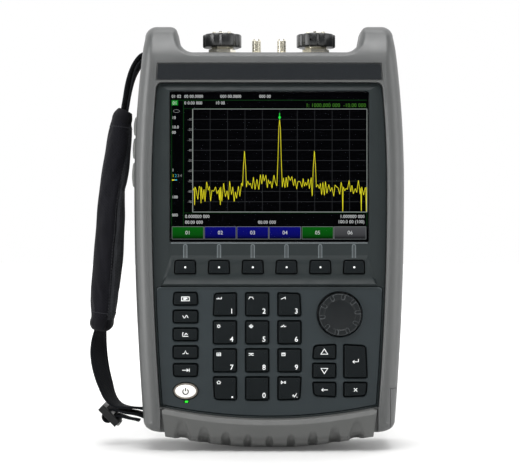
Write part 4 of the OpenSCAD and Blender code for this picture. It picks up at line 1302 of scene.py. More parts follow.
def ring_piece(name, s):
    me = to_mesh(name + "_lobed", port_ring(s))
    fix_normals(me)
    # socket for the set screw
    a = math.radians(-90 - 17) if s > 0 else math.radians(180)
    d = Vector((math.cos(a), math.sin(a)))
    c = Vector((s * 32.5, -2.0)) + d * 13.0
    n = 20
    rings = []
    for t in (-2.0, 2.5):
        q = c + d * t
        side = Vector((-d.y, d.x))
        rings.append([(q.x + side.x * 0.9 * math.cos(2 * math.pi * i / n), q.y + side.y * 0.9 * math.cos(2 * math.pi * i / n), 280.4 + 0.9 * math.sin(2 * math.pi * i / n)) for i in range(n)])
    me = boolean(me, [Build().add(*loft(rings))])
    put(name + "_lobed", me, ["ring"], body=name, replaces=[name], smooth=38, weighted=False)


ring_piece("left_port_ring", -1)
ring_piece("right_port_ring", 1)


def hexagon(cx, cy, r, z0, z1, turn=0.0, cham=0.5):
    rings = []
    for rr_, z in ((r - cham, z0), (r, z0 + cham * 0.6), (r, z1 - cham * 0.6), (r - cham, z1)):
        ring = []
        for i in range(6):
            a = math.radians(60 * i + turn)
            ring.append((cx + rr_ * math.cos(a), cy + rr_ * math.sin(a), z))
        rings.append(ring)
    return loft(rings)


def thread(r0, r1, z0, z1, pitch):
    prof, z = [], z0
    while z + pitch <= z1 + 1e-6:
        prof += [(r1, z + pitch * 0.10), (r0, z + pitch * 0.40), (r0, z + pitch * 0.60), (r1, z + pitch * 0.90)]
        z += pitch
    return prof


b = Build()
for s in (-1, 1):
    cx, cy = s * 32.5, -2.0
    b.add(*hexagon(cx, cy, 9.4, 270.1, 274.9, 8), 0)
    prof = [(6.0, 262.0), (7.6, 262.4), (7.6, 274.5), (7.5, 275.0)] + thread(7.45, 7.85, 275.2, 284.4, 0.9) + [(7.2, 284.8), (7.15, 285.6), (6.9, 286.0), (4.6, 286.0), (4.3, 285.7), (4.3, 280.2)]
    b.add(*lathe(prof + [(0.0, 280.2)], cx, cy, 64), 0)
    # six short wrench flats standing round the mouth
    for i in range(6):
        a = math.radians(60 * i + 22)
        ring0, ring1 = [], []
        for da, rr_ in ((-0.16, 5.3), (0.16, 5.3), (0.13, 7.1), (-0.13, 7.1)):
            ring0.append((cx + rr_ * math.cos(a + da), cy + rr_ * math.sin(a + da), 285.4))
            ring1.append((cx + rr_ * math.cos(a + da), cy + rr_ * math.sin(a + da), 286.0 + 0.9))
        b.add(*loft([ring0, ring1]), 0)
    b.add(*lathe([(3.9, 280.1), (3.9, 281.2), (3.6, 281.4), (1.3, 281.4), (1.25, 280.6), (0, 280.6)], cx, cy, 40), 1)
    b.add(*lathe([(0.95, 280.3), (0.95, 283.6), (0.8, 283.9), (0.45, 283.9), (0.42, 282.2), (0, 282.2)], cx, cy, 24), 2)
put("rf_ports_turned", b, ["nickel", "ptfe", "gold"], replaces=["rf_ports"], smooth=30, weighted=False)

b = Build()
for s in (-1, 1):
    cx, cy = s * 8.7, -2.0
    b.add(*hexagon(cx, cy, 4.7, 270.1, 272.0, 0, 0.3), 0)
    prof = [(2.6, 264.0), (3.0, 264.3), (3.0, 272.3), (2.7, 272.4), (2.7, 273.0)] + thread(3.17, 2.98, 273.1, 281.2, 0.706)
    prof += [(2.75, 281.5), (2.6, 282.0), (2.25, 282.0), (2.12, 281.8), (2.1, 277.2), (0, 277.2)]
    b.add(*lathe(prof, cx, cy, 48), 0)
    b.add(*lathe([(2.08, 276.9), (2.08, 280.6), (1.95, 280.7), (0.75, 280.7), (0.7, 279.9), (0, 279.9)], cx, cy, 32), 1)
    b.add(*lathe([(0.62, 277.0), (0.62, 281.0), (0.5, 281.15), (0.3, 281.15), (0.28, 280.2), (0, 280.2)], cx, cy, 20), 2)
put("sma_jacks_turned", b, ["nickel", "ptfe", "gold"], replaces=["sma_jacks"], smooth=30, weighted=False)


# ------------------------------------------------------------------ display picture
S = 0.6751


def px(x):
    return (x - 260) * S - 6.26


def pz(y):
    return 147 - (y - 234) * S


SY = -29.22
pic_mats = {
    "grid": lit("screen_grid", (66, 68, 70), 0.5),
    "frame": lit("screen_frame", (160, 168, 164), 0.85),
    "green": lit("screen_green_line", (20, 66, 24), 0.7),
    "green2": lit("screen_green_box", (20, 150, 40), 0.9),
    "mark": lit("screen_marker", (40, 230, 70), 1.0),
    "dim": lit("screen_readout", (70, 130, 40), 0.85),
    "trace": lit("screen_trace", (246, 238, 40), 0.9),
    "text": lit("screen_text", (225, 228, 228), 0.9),
    "axis": lit("screen_axis", (150, 152, 152), 0.8),
    "cyan": lit("screen_cyan", (70, 190, 220), 0.9),
    "lg": lit("screen_label_green", (4, 22, 4), 0.85, (10, 98, 18), pz(239), pz(226.8)),
    "lb": lit("screen_label_blue", (4, 4, 26), 0.85, (12, 14, 126), pz(239), pz(226.8)),
    "lk": lit("screen_label_grey", (16, 16, 17), 0.85, (84, 85, 88), pz(239), pz(226.8)),
    "edge": lit("screen_label_edge", (128, 132, 132), 0.8),
    "black": lit("screen_black", (2, 2, 3), 0.5),
}
M.update({"pic_" + k: v for k, v in pic_mats.items()})


def quad(b, x0, y0, x1, y1, mat, lift=0.0):
    """Picture element from photo-frame pixel corners, as a thin slab."""
    b.add(*box(px(x0), px(x1), SY - 0.03 - lift, SY - lift, pz(y1), pz(y0)), mat)


def hline(b, x0, x1, y, wd, mat, lift=0.0):
    quad(b, x0, y - wd / 2, x1, y + wd / 2, mat, lift)


def vline(b, x, y0, y1, wd, mat, lift=0.0):
    quad(b, x - wd / 2, y0, x + wd / 2, y1, mat, lift)


pm = ["pic_" + k for k in pic_mats]
PI = {k: i for i, k in enumerate(pic_mats)}
b = Build()
b.add(*box(-66.9, 66.9, -29.205, -29.19, LCD_Z0 + 0.1, LCD_Z1 - 0.1), PI["black"])
gx0, gx1, gy0, gy1 = 192.7, 367.0, 109.0, 212.0
for i in range(1, 10):
    vline(b, gx0 + (gx1 - gx0) * i / 10, gy0, gy1, 0.45, PI["grid"])
    hline(b, gx0, gx1, gy0 + (gy1 - gy0) * i / 10, 0.45, PI["grid"], 0.004)
vline(b, gx0, gy0, gy1, 0.7, PI["frame"], 0.01)
vline(b, gx1, gy0, gy1, 0.6, PI["frame"], 0.01)
hline(b, gx0, gx1, gy0, 0.5, PI["frame"], 0.014)
hline(b, gx0, gx1, gy1, 0.6, PI["frame"], 0.014)
hline(b, 171.5, 367, 100.2, 0.6, PI["green"], 0.01)
hline(b, 183.5, 367, 108.6, 0.4, PI["green"], 0.006)
hline(b, 183.5, 367, 212.9, 0.4, PI["green"], 0.006)
vline(b, 171.6, 100.2, 225.5, 0.6, PI["green"], 0.012)
vline(b, 183.5, 100.2, 225.5, 0.7, PI["green"], 0.012)
vline(b, 366.9, 213, 225.5, 0.5, PI["green"], 0.012)
quad(b, 171.7, 100.4, 177.9, 105.3, PI["green2"], 0.02)


def text(s, x, y, h, mat, align="LEFT", sq=0.92, bold=0.0):
    glyphs(b, s, px(x), pz(y), h * S * 1.36, SY - 0.02, PI[mat], align, bold, 0.03, sq)


text("01", 174.8, 102.9, 3.6, "text", "CENTER")
text("01 02", 171.6, 96.3, 3.2, "text")
text("00 00.0000", 184.2, 96.3, 3.2, "text")
text("000 00.0000", 220.2, 96.3, 3.2, "text")
text("000 00", 259.2, 96.3, 3.2, "text")
text("0 0.00 000", 184.2, 102.9, 3.2, "text")
text("10 00", 215.4, 102.9, 3.2, "text")
text("1: 1000.000 000  -10.00 000", 366, 105.2, 4.0, "dim", "RIGHT", 0.92)
text("0.000000 000", 185, 216.4, 3.4, "text")
text("00.00 000", 185, 222.2, 3.4, "text")
text("00.00 000", 258, 222.2, 3.4, "text")
text("1.000000 000", 364.5, 216.4, 3.4, "text", "RIGHT")
text("100.0 00 (100)", 364.5, 222.2, 3.4, "text", "RIGHT")
for i in range(1, 10):
    text("-%d" % (i * 10), 191.8, gy0 + (gy1 - gy0) * i / 10, 2.6, "axis", "RIGHT", 0.85)
for yy, t in ((117.6, "10"), (127, "10.0"), (132.4, "00"), (170, "1"), (197, "100"), (215, "000")):
    text(t, 172, yy, 3.0, "text")
for i, (t, mt) in enumerate((("1", "trace"), ("2", "cyan"), ("3", "axis"), ("4", "axis"))):
    text(t, 172.2 + i * 2.6, 175.6, 3.0, mt)
hline(b, 172, 174.4, 180, 1.1, PI["trace"], 0.02)
hline(b, 174.6, 177, 180, 1.1, PI["cyan"], 0.02)
strokes(b, [line_circle(1.0, 18, 0, 360, px(176.4), pz(111.0), 2.1)], 0.24, SY, thick=0.03, mat=PI["axis"])

# trace: noise floor, three carriers and a few drop-outs
tr = random.Random(21)
pts, x = [], gx0 + 0.3
while x < gx1 - 0.3:
    u = (x - gx0) / (gx1 - gx0)
    mid = 191 if u < 0.28 else 184 if u < 0.70 else 190
    if 0.28 <= u < 0.70:
        mid = 184 - 3.2 * math.sin(math.pi * (u - 0.28) / 0.42)
    elif u >= 0.70:
        mid = 186 + 10 * (u - 0.70)
    amp = 12.5 if u < 0.28 else 9.5 if u < 0.70 else 11
    y = mid + amp * (tr.random() * 0.95 - 0.10) * (1 if len(pts) % 2 else -1)
    pts.append([x, min(211.5, max(170, y))])
    x += 0.95 + 1.0 * tr.random()
for pxk, top_, half in ((244.5, 151.0, 1.9), (279.6, 119.8, 2.7), (314.4, 151.0, 1.9)):
    pts = [p for p in pts if abs(p[0] - pxk) > half + 0.1]
    pts += [[pxk - half, 186], [pxk - half * 0.62, 168 if top_ > 140 else 160], [pxk - half * 0.28, top_ + 8], [pxk, top_], [pxk + half * 0.3, top_ + 8], [pxk + half * 0.62, 168 if top_ > 140 else 160], [pxk + half, 187]]
for dx, dy in ((342.8, 211.6), (361.3, 211.2), (366.3, 211.6), (220.3, 205), (194.6, 205), (312.2, 196), (201, 203)):
    pts = [p for p in pts if abs(p[0] - dx) > 0.8]
    pts += [[dx - 0.55, 188], [dx, dy], [dx + 0.45, 187]]
pts.sort()
line = [(px(p[0]), pz(p[1])) for p in pts]
for k, (a, c) in enumerate(zip(line, line[1:])):
    strokes(b, [[a, c]], 0.33, SY - 0.03 - 0.008 * (k % 2), thick=0.03, mat=PI["trace"])
b.add(*prism_y([(px(279.6) + a * 0.95, pz(117.4) + c * 1.5) for a, c in ((1, 0), (0, 1), (-1, 0), (0, -1))], SY - 0.085, SY - 0.04), PI["mark"])
vline(b, 279.6, 113.0, 115.2, 0.7, PI["mark"], 0.03)
for (x0, x1), mt in zip(((172, 203.5), (204.6, 236), (237, 268.4), (269.3, 300.7), (302, 333.3), (334.2, 366)), ("lg", "lb", "lb", "lb", "lg", "lk")):
    quad(b, x0, 226.8, x1, 239.0, PI[mt], 0.01)
    hline(b, x0, x1, 226.7, 0.45, PI["edge"], 0.02)
    hline(b, x0, x1, 239.1, 0.4, PI["edge"], 0.02)
    vline(b, x0, 226.6, 239.2, 0.4, PI["edge"], 0.024)
    vline(b, x1, 226.6, 239.2, 0.45, PI["edge"], 0.024)
for x, t in ((187.8, "01"), (220.3, "02"), (252.7, "03"), (285, "04"), (317.6, "05"), (350.1, "06")):
    text(t, x, 232.6, 3.9, "text", "CENTER", 0.95)
put("display_picture", b, pm, smooth=30, weighted=False, recalc=False)
# ------------------------------------------------------------------ CAD nodes kept, with their finish
def finish_node(n, mat, bevel=0.0, segs=2, smooth=30.0):
    o = NODES[n]
    if not o.data.materials:
        o.data.materials.append(None)
    for i in range(len(o.data.materials)):
        o.data.materials[i] = M[mat]
    for s in o.material_slots:
        s.material = M[mat]
    if bevel:
        mod = o.modifiers.new("weld", "WELD")
        mod.merge_threshold = 0.00001
        mod = o.modifiers.new("edge", "BEVEL")
        mod.width = bevel * MM
        mod.segments = segs
        mod.limit_method = "ANGLE"
        mod.angle_limit = math.radians(smooth)
        mod.harden_normals = False


for n, mat, bev in (
    ("display_window", "window", 0.0), ("lcd_module", "dark", 0.0), ("case_gasket", "seal", 0.0), ("case_screws", "steel", 0.0),
    ("key_mat", "mat", 0.0), ("keypad_board", "board", 0.0), ("encoder", "shield", 0.0),
    ("main_board", "board", 0.0), ("rf_module", "shield", 0.4), ("battery_pack", "battery", 0.8),
    ("tilt_stand", "stand", 0.5), ("strap_pins", "steel", 0.2), ("strap_buckle", "buckle", 0.7),
):
    finish_node(n, mat, bev)


# ------------------------------------------------------------------ sockets behind the input door
def rect_x(x, y0, y1, z0, z1):
    return [(x, y0, z0), (x, y1, z0), (x, y1, z1), (x, y0, z1)]


def turned_x(prof, y, z, n=40):
    return loft([[(x, y + r * math.cos(2 * math.pi * i / n), z + r * math.sin(2 * math.pi * i / n)) for i in range(n)] for r, x in prof])


def sockets():
    b = Build().add(*box(74.4, 76.2, -13, 8, 115, 199), 0)
    for y0, y1, z0, z1, t in ((-11, 5, 120, 133.5, 1.1), (-9.5, 3.5, 142, 147.6, 0.5), (-9.5, 3.5, 151, 156.6, 0.5), (-8, 2, 162, 165.6, 0.5)):
        # folded metal shell, its rolled lip and the dark well inside
        b.add(*loft([rect_x(76.1, y0, y1, z0, z1), rect_x(87.7, y0, y1, z0, z1), rect_x(88.0, y0 + 0.2, y1 - 0.2, z0 + 0.2, z1 - 0.2),
                     rect_x(88.0, y0 + t, y1 - t, z0 + t, z1 - t), rect_x(79.0, y0 + t, y1 - t, z0 + t, z1 - t)]), 1)
        b.add(*box(78.6, 79.2, y0 + t * 0.6, y1 - t * 0.6, z0 + t * 0.6, z1 - t * 0.6), 2)
    for z in (142, 151):
        b.add(*box(79.0, 86.6, -8.2, 2.2, z + 3.0, z + 4.6), 2)
        for y in (-6.6, -4.2, -1.8, 0.6):
            b.add(*box(80.0, 86.2, y - 0.5, y + 0.5, z + 2.8, z + 3.1), 3)
    b.add(*box(79.0, 86.6, -6.6, 0.6, 163.5, 164.2), 2)
    for i in range(8):
        b.add(*box(80.0, 85.8, -6.75 + i * 1.05, -6.4 + i * 1.05, 129.6, 130.2), 3)
    # latch slot of the wide socket
    b.add(*box(79.1, 87.4, -5.6, -0.4, 121.2, 122.4), 2)
    for z, r, q in ((174, 3.6, 1.8), (187, 5.0, 3.1)):
        b.add(*turned_x([(r - 0.2, 76.1), (r, 76.3), (r, 87.5), (r - 0.4, 88.0), (q + 0.35, 88.0), (q, 87.7), (q, 79.0)], -3, z), 1)
        b.add(*turned_x([(r + 1.2, 76.1), (r + 1.2, 77.0), (r + 0.9, 77.3), (r - 0.1, 77.3)], -3, z, 6), 1)
        b.add(*turned_x([(q - 0.05, 78.9), (q - 0.05, 79.3)], -3, z), 2)
    b.add(*turned_x([(0.9, 79.0), (0.9, 86.4), (0.6, 86.9)], -3, 187, 20), 3)
    return b


put("io_sockets", sockets(), ["panel", "shield", "dark", "gold"], replaces=["io_jacks"], smooth=30, weighted=False)


# ------------------------------------------------------------------ rubber covers on the left side
def side_cover(z0, half):
    """Bulged cover with a rounded edge, a raised rib frame and a thumb notch at its lower end."""
    b = Build()
    ys, zs = list(np.linspace(-8, 8, 25)), list(np.linspace(z0 - half, z0 + half, 25))
    n, m = len(ys), len(zs)
    v = []
    for layer in (0, 1):
        for z in zs:
            for y in ys:
                t = (z - z0) / half
                e = min(8 - abs(y), half - abs(z - z0))
                out = 0.2 + 0.7 * (1 - t * t)
                out -= 0.6 * max(0.0, 1 - e / 0.8) ** 2
                # rib frame inside the edge
                out += 0.12 * math.exp(-((e - 2.0) / 0.35) ** 2)
                if abs(y) < 4 and z < z0 - half + 1.2:
                    out -= 1.0
                x = -side_x(0, z) - out
                v.append((x if layer == 0 else -86.2, y, z))
    f = []
    for j in range(m - 1):
        for i in range(n - 1):
            a = j * n + i
            f.append((a, a + n, a + n + 1, a + 1))
            c = a + n * m
            f.append((c, c + 1, c + n + 1, c + n))
    rim = [i for i in range(n)] + [j * n + n - 1 for j in range(1, m)] + [(m - 1) * n + i for i in range(n - 2, -1, -1)] + [j * n for j in range(m - 2, 0, -1)]
    k = len(rim)
    f += [(rim[i], rim[(i + 1) % k], rim[(i + 1) % k] + n * m, rim[i] + n * m) for i in range(k)]
    b.add(v, f)
    return b


def side_x(y, z):
    return w(z) * (1 - 0.003 * min(1.0, max(0.0, (16 - y) / 16)) - 0.00095 * max(0.0, -y))


b = Build()
for z0, half in ((221.3, 6.4), (205.9, 7.1), (187.8, 8.4)):
    c = side_cover(z0, half)
    b.add(c.v, c.f)
put("side_covers", b, ["plug"], replaces=["side_plugs"], smooth=40, weighted=False)


# ------------------------------------------------------------------ input door on the right side
def side_door():
    z0, z1 = 114.0, 200.0
    ys = [-14.0, -13.75, -13.2] + list(np.linspace(-11.5, 7.0, 9)) + [8.2, 8.8]
    zs = [z0, z0 + 0.2, z0 + 0.7] + list(np.linspace(z0 + 2.5, z1 - 2.5, 30)) + [z1 - 0.7, z1 - 0.2, z1]
    n, m = len(ys), len(zs)
    v = []
    for x_in in (0, 1):
        for z in zs:
            for y in ys:
                e = max(0.0, 0.7 - min(y + 14.0, z - z0, z1 - z)) / 0.7
                rim = min(y + 14.0, 10.5 - y, z - z0, z1 - z)
                # a shallow field inside a raised border
                t = min(1.0, max(0.0, (rim - 3.2) / 0.8))
                out = side_x(y, z) - 0.05 - 0.55 * (1 - math.sqrt(max(0.0, 1 - e * e))) - 0.35 * t * t * (3 - 2 * t)
                v.append((out if x_in == 0 else w(z) - 4.2, y, z))
    f = []
    for j in range(m - 1):
        for i in range(n - 1):
            a = j * n + i
            f.append((a, a + 1, a + n + 1, a + n))
            c = a + n * m
            f.append((c, c + n, c + n + 1, c + 1))
    rim = [i for i in range(n)] + [j * n + n - 1 for j in range(1, m)] + [(m - 1) * n + i for i in range(n - 2, -1, -1)] + [j * n for j in range(m - 2, 0, -1)]
    k = len(rim)
    f += [(rim[i], rim[i] + n * m, rim[(i + 1) % k] + n * m, rim[(i + 1) % k]) for i in range(k)]
    me = to_mesh("tmp_door", Build().add(v, f))
    fix_normals(me)
    me = boolean(me, [Build().add(*cyl("z", 96.4, -14, 5.2, 149, 165, 48))])
    b = Build().add_mesh(me, 0, lambda p: (p[0] * 1000, p[1] * 1000, p[2] * 1000))
    # hinge barrel with its pin, and grip ribs beside the scoop
    b.add(*lathe([(1.2, z0 + 0.1), (1.66, z0 + 0.5), (1.66, z1 - 0.5), (1.2, z1 - 0.1)], 92.1, 8.8, 28), 0)
    b.add(*lathe([(0.5, z0 - 2.4), (0.78, z0 - 2.1), (0.78, z1 + 2.1), (0.5, z1 + 2.4)], 92.1, 8.8, 16), 1)
    for i in range(5):
        z = 151 + 3 * i
        ring = []
        for y, q in ((-7.6, 0.0), (-7.2, 0.28), (-3.4, 0.28), (-3.0, 0.0)):
            x = side_x(y, z) - 0.45
            ring.append([(x + q, y, z + 0.55 - q), (x + q, y, z - 0.55 + q), (x - 0.4, y, z - 0.55), (x - 0.4, y, z + 0.55)])
        b.add(*loft(ring), 0)
    return b


put("io_door_cover", side_door(), ["case", "steel"], body="io_door", replaces=["io_door"], smooth=32, weighted=False)


# ------------------------------------------------------------------ hand strap
def spline(pts, step):
    """Points close together along a smooth line through pts; the first two values of a point are x and z."""
    P = [np.array(q, float) for q in pts]
    P = [2 * P[0] - P[1]] + P + [2 * P[-1] - P[-2]]
    fine = []
    for i in range(1, len(P) - 2):
        n = max(4, int(np.linalg.norm((P[i + 1] - P[i])[:2]) / 0.25))
        for k in range(n):
            t = k / n
            fine.append(0.5 * (2 * P[i] + (P[i + 1] - P[i - 1]) * t + (2 * P[i - 1] - 5 * P[i] + 4 * P[i + 1] - P[i + 2]) * t * t
                               + (3 * P[i] - P[i - 1] - 3 * P[i + 1] + P[i + 2]) * t ** 3))
    fine.append(P[-2])
    d = [0.0]
    for a, c in zip(fine, fine[1:]):
        d.append(d[-1] + float(np.linalg.norm((c - a)[:2])))
    n = max(2, int(round(d[-1] / step)))
    out, j = [], 0
    for k in range(n + 1):
        q = d[-1] * k / n
        while j < len(d) - 2 and d[j + 1] < q:
            j += 1
        t = (q - d[j]) / max(1e-9, d[j + 1] - d[j])
        out.append(fine[j] * (1 - t) + fine[j + 1] * t)
    return out


ACROSS = [(-1.0, 0.25), (-0.985, 0.7), (-0.95, 0.95), (-0.88, 1.0), (-0.80, 0.98), (-0.76, 0.84), (-0.72, 0.96), (-0.5, 1.0), (-0.25, 1.0), (0.0, 1.0),
          (0.25, 1.0), (0.5, 1.0), (0.72, 0.96), (0.76, 0.84), (0.80, 0.98), (0.88, 1.0), (0.95, 0.95), (0.985, 0.7), (1.0, 0.25)]


def ribbon(b, pts, half=10.0, th=1.7, step=0.75, mat=0):
    """Woven band along points (x, z, twist in degrees): its width lies along Y, turned by the twist; the edges show the picks."""
    line = spline(pts, step)
    rings = []
    for i, p in enumerate(line):
        a, c = line[max(i - 1, 0)], line[min(i + 1, len(line) - 1)]
        t = Vector((c[0] - a[0], c[1] - a[1])).normalized()
        nx, nz = -t.y, t.x
        co_, si = math.cos(math.radians(p[2])), math.sin(math.radians(p[2]))
        pick = 1 if i % 2 else -1
        ring = []
        for side in (1, -1):
            for v, g in (ACROSS if side == 1 else ACROSS[::-1]):
                u = v * (half + 0.07 * pick)
                o = side * (th / 2 * g + 0.035 * pick * (1 if abs(v) < 0.74 else -1))
                k = u * si + o * co_
                ring.append((p[0] + nx * k, u * co_ - o * si, p[1] + nz * k))
        rings.append(ring)
    b.add(*loft(rings), mat)
    return line


def pin_turn(cx, cz, r, a0, a1, n=10):
    return [(x, z, 0.0) for x, z in arc(cx, cz, r, a0, a1, n)]


web = Build()
outer = [(-100.6, 229.5, -6), (-100.35, 233, -6), (-99.15, 240, -6), (-97.65, 250, -5), (-95.7, 258.5, -2.5), (-93.4, 264.2, -1), (-90.6, 268.6, 0), (-88.0, 270.9, 0), (-85.8, 271.6, 0)]
inner = [(-86.0, 266.5, 0), (-88.2, 266.0, 0), (-90.4, 263.6, 0), (-92.3, 260, -1), (-93.7, 256.3, -2.5), (-95.3, 250, -5), (-97.3, 240, -6), (-98.5, 233, -6), (-98.9, 229.5, -6)]
ribbon(web, outer + pin_turn(-84, 269, 2.62, 90, -90) + inner)
main = [(-116.9, 84.5, 14), (-117.3, 80.2, 16.5), (-118.2, 73, 23), (-118.4, 66, 27), (-117.7, 58.5, 27.5), (-116.1, 50.5, 25.5), (-113.7, 42.5, 22), (-110.9, 34.8, 16), (-107.3, 30, 9),
        (-102.8, 27.5, 0), (-97.6, 26.5, -5), (-92, 26.1, -7), (-86.9, 25.75, -4)]
sa = math.radians(-44)
su, sn = Vector((math.sin(sa), math.cos(sa))), Vector((math.cos(sa), -math.sin(sa)))
sc = Vector((-110.0, 22.1))
sk = sc - 1.5 * sn


def at_slide(u, n, o=sk):
    q = o + u * su + n * sn
    return (q.x, q.y, 0.0)


tail = [(-86.4, 20.7, 0), (-89.6, 22.0, 0), (-94, 23, 0), (-100, 23.9, 0), (-104.2, 25.2, 0), at_slide(3.5, 3.4)]
tail += [at_slide(3.5 * math.cos(math.radians(a)), -3.5 * math.sin(math.radians(a))) for a in range(0, 181, 20)]
tail += [at_slide(-3.5, 3.4), (-102.4, 20.6, -4), (-97, 19.0, -6), (-92.6, 18.2, -6), (-89.9, 17.5, -5)]
ribbon(web, main + pin_turn(-84, 23, 2.62, 90, -90) + tail)
put("strap_webbing_woven", web, ["web"], replaces=["strap_webbing"], smooth=55, weighted=False)

PAD = [(-99.8, 232.6, 4.8, 13), (-101.3, 229, 6.5, 16.5), (-102.4, 225, 7.2, 18), (-104.1, 209.6, 8, 19), (-106.2, 193, 8.3, 19), (-107.9, 176, 8.5, 19), (-109.2, 159.5, 8.7, 19),
       (-110.7, 142.8, 8.8, 19), (-112.1, 126, 8.8, 19), (-113.4, 109.4, 8.8, 19), (-115, 92.7, 8.6, 19), (-116.8, 83, 7.6, 18), (-117.2, 80.6, 5.5, 14)]
NCOL = 64
SEAMS = {41: 1.5, 21: 0.9}


def pad_rings(shrink):
    """Sleeve of the hand pad. Column 0 faces away from the case, column 16 the back, column 48 the front."""
    line = spline(PAD, 2.1)
    rings = []
    n = len(line)
    for i, q in enumerate(line):
        a, c = line[max(i - 1, 0)], line[min(i + 1, n - 1)]
        t = Vector((c[0] - a[0], c[1] - a[1])).normalized()
        nx, nz = t.y, -t.x
        near = min(1.0, min(i, n - 1 - i) / 3)
        ring = []
        for j in range(NCOL):
            run = min(1.0, i / (n - 1) / 0.5)
            th = 2 * math.pi * (j - 8.5 * (1 - run * run * (3 - 2 * run)) * (1 if j > 32 else -1) * math.sin(math.pi * ((j - 0.001) % 32) / 32)) / NCOL
            cs, sn_ = math.cos(th), math.sin(th)
            e = 2 / 2.5
            u = math.copysign(abs(cs) ** e, cs)
            v = math.copysign(abs(sn_) ** e, sn_)
            deep = shrink * near
            for sj, dp in SEAMS.items():
                deep += dp * math.exp(-((j - sj) / 0.8) ** 2) if shrink else 0.0
            ring.append(Vector((q[0] + nx * u * (q[2] - deep), v * (q[3] - deep), q[1] + nz * u * (q[2] - deep))))
        rings.append(ring)
    return rings


def strap_pad():
    rings = pad_rings(0.45)
    n = len(rings)
    mid0 = sum(rings[0], Vector()) / NCOL
    mid1 = sum(rings[-1], Vector()) / NCOL
    full = [[mid0 + (p - mid0) * 0.94 for p in rings[0]]] + rings + [[mid1 + (p - mid1) * 0.94 for p in rings[-1]]]
    v, f = loft([[tuple(p) for p in r] for r in full])
    me = to_mesh("strap_pad_sleeve", Build().add(v, f))
    fix_normals(me)
    o = bpy.data.objects.new("strap_pad_sleeve", me)
    scene.collection.objects.link(o)
    R = n + 2
    start = [vv.co.copy() for vv in me.vertices]
    pin = o.vertex_groups.new(name="pin")
    for r in range(R):
        for j in range(NCOL):
            end = min(r, R - 1 - r)
            wgt = 1.0 if end <= 2 else 0.85 if end == 5 else 0.0
            if j in SEAMS:
                wgt = 1.0
            if wgt:
                pin.add([r * NCOL + j], wgt, "REPLACE")
    mod = o.modifiers.new("cloth", "CLOTH")
    st = mod.settings
    st.quality = 7
    st.mass = 0.3
    st.tension_stiffness = 14
    st.compression_stiffness = 14
    st.shear_stiffness = 5
    st.bending_stiffness = 2.5
    st.use_pressure = True
    st.uniform_pressure_force = 8.0
    st.shrink_min = -0.004
    st.vertex_group_mass = "pin"
    st.effector_weights.gravity = 0.0
    mod.collision_settings.use_collision = False
    mod.collision_settings.use_self_collision = False
    mod.point_cache.frame_start = 1
    mod.point_cache.frame_end = 20
    for fr in range(1, 21):
        scene.frame_set(fr)
    dg = bpy.context.evaluated_depsgraph_get()
    ev = o.evaluated_get(dg).to_mesh()
    moved = [vv.co.copy() for vv in ev.vertices]
    o.evaluated_get(dg).to_mesh_clear()
    o.modifiers.clear()
    scene.frame_set(1)
    cap = 1.7 * MM
    for vv, a, c in zip(me.vertices, start, moved):
        d = c - a
        if d.length > cap:
            d *= cap / d.length
        vv.co = a + d
    # slack in the cover: slow waves across, and short puckers that fade away from the seams and hems
    me.update()
    nor = [vv.normal.copy() for vv in me.vertices]
    ph = [rnd.uniform(0, 6.28) for _ in range(6)]
    for r in range(R):
        for j in range(NCOL):
            gap = min(min((j - q) % NCOL, (q - j) % NCOL) for q in SEAMS)
            end = min(r, R - 1 - r)
            if end < 2:
                continue
            pk = 0.16 * math.exp(-gap / 3.0) * math.sin(r * 1.55 + ph[0] + 0.6 * math.sin(r * 0.37 + ph[1]))
            pk += 0.22 * math.exp(-max(0, end - 3) / 3.5) * math.sin(j * 0.98 + ph[2]) * (1 if end > 2 else 0.4)
            sl = 0.20 * math.sin(r * 0.21 + ph[3] + j * 0.11) + 0.12 * math.sin(r * 0.47 + ph[4] - j * 0.19)
            hem = -0.45 * math.exp(-((end - 5) / 0.7) ** 2)
            me.vertices[r * NCOL + j].co += nor[r * NCOL + j] * MM * (pk + sl * min(1.0, end / 8) + hem)
    for p in me.polygons:
        r = min(vi // NCOL for vi in p.vertices)
        j = min(vi % NCOL for vi in p.vertices)
        if max(vi % NCOL for vi in p.vertices) - j > 4:
            j = NCOL - 1
        # faces between the seams take the edge-panel fabric, lightened as a painted highlight of the fold
        p.material_index = 1 if min(r, R - 2 - r) < 5 else 2 if 21 <= j < 41 else 0
    pos = [vv.co.copy() for vv in me.vertices]
    bpy.data.objects.remove(o)
    o = put("strap_pad_sleeve", me, ["pad", "hem", "padedge_and_highlight"], replaces=["strap_pad"], smooth=None, weighted=False)
    sub = o.modifiers.new("round", "SUBSURF")
    sub.levels = 1
    sub.render_levels = 1

    def at(r, j):
        return pos[r * NCOL + j % NCOL] * 1000

    st = Build()

    def stitch(p, q, nrm, wd=0.24, ht=0.22):
        d = (q - p)
        side = d.cross(nrm).normalized() * wd
        rings_ = []
        for t, k in ((0.08, 0.35), (0.25, 1.0), (0.75, 1.0), (0.92, 0.35)):
            c = p + d * t
            rings_.append([tuple(c + side * k - nrm * 0.25), tuple(c + side * k * 0.8 + nrm * ht * k), tuple(c - side * k * 0.8 + nrm * ht * k), tuple(c - side * k - nrm * 0.25)])
        st.add(*loft(rings_))

    for r in (7, R - 8):
        for j in range(NCOL):
            stitch(at(r, j), at(r, j).lerp(at(r, j + 1), 0.72), nor[r * NCOL + j])
    for q in SEAMS:
        for side in (-2, 2):
            for r in range(6, R - 7):
                stitch(at(r, q + side), at(r, q + side).lerp(at(r + 1, q + side), 0.7), nor[r * NCOL + (q + side) % NCOL])
    put("strap_pad_stitches", st, ["thread"], smooth=40, weighted=False)


strap_pad()

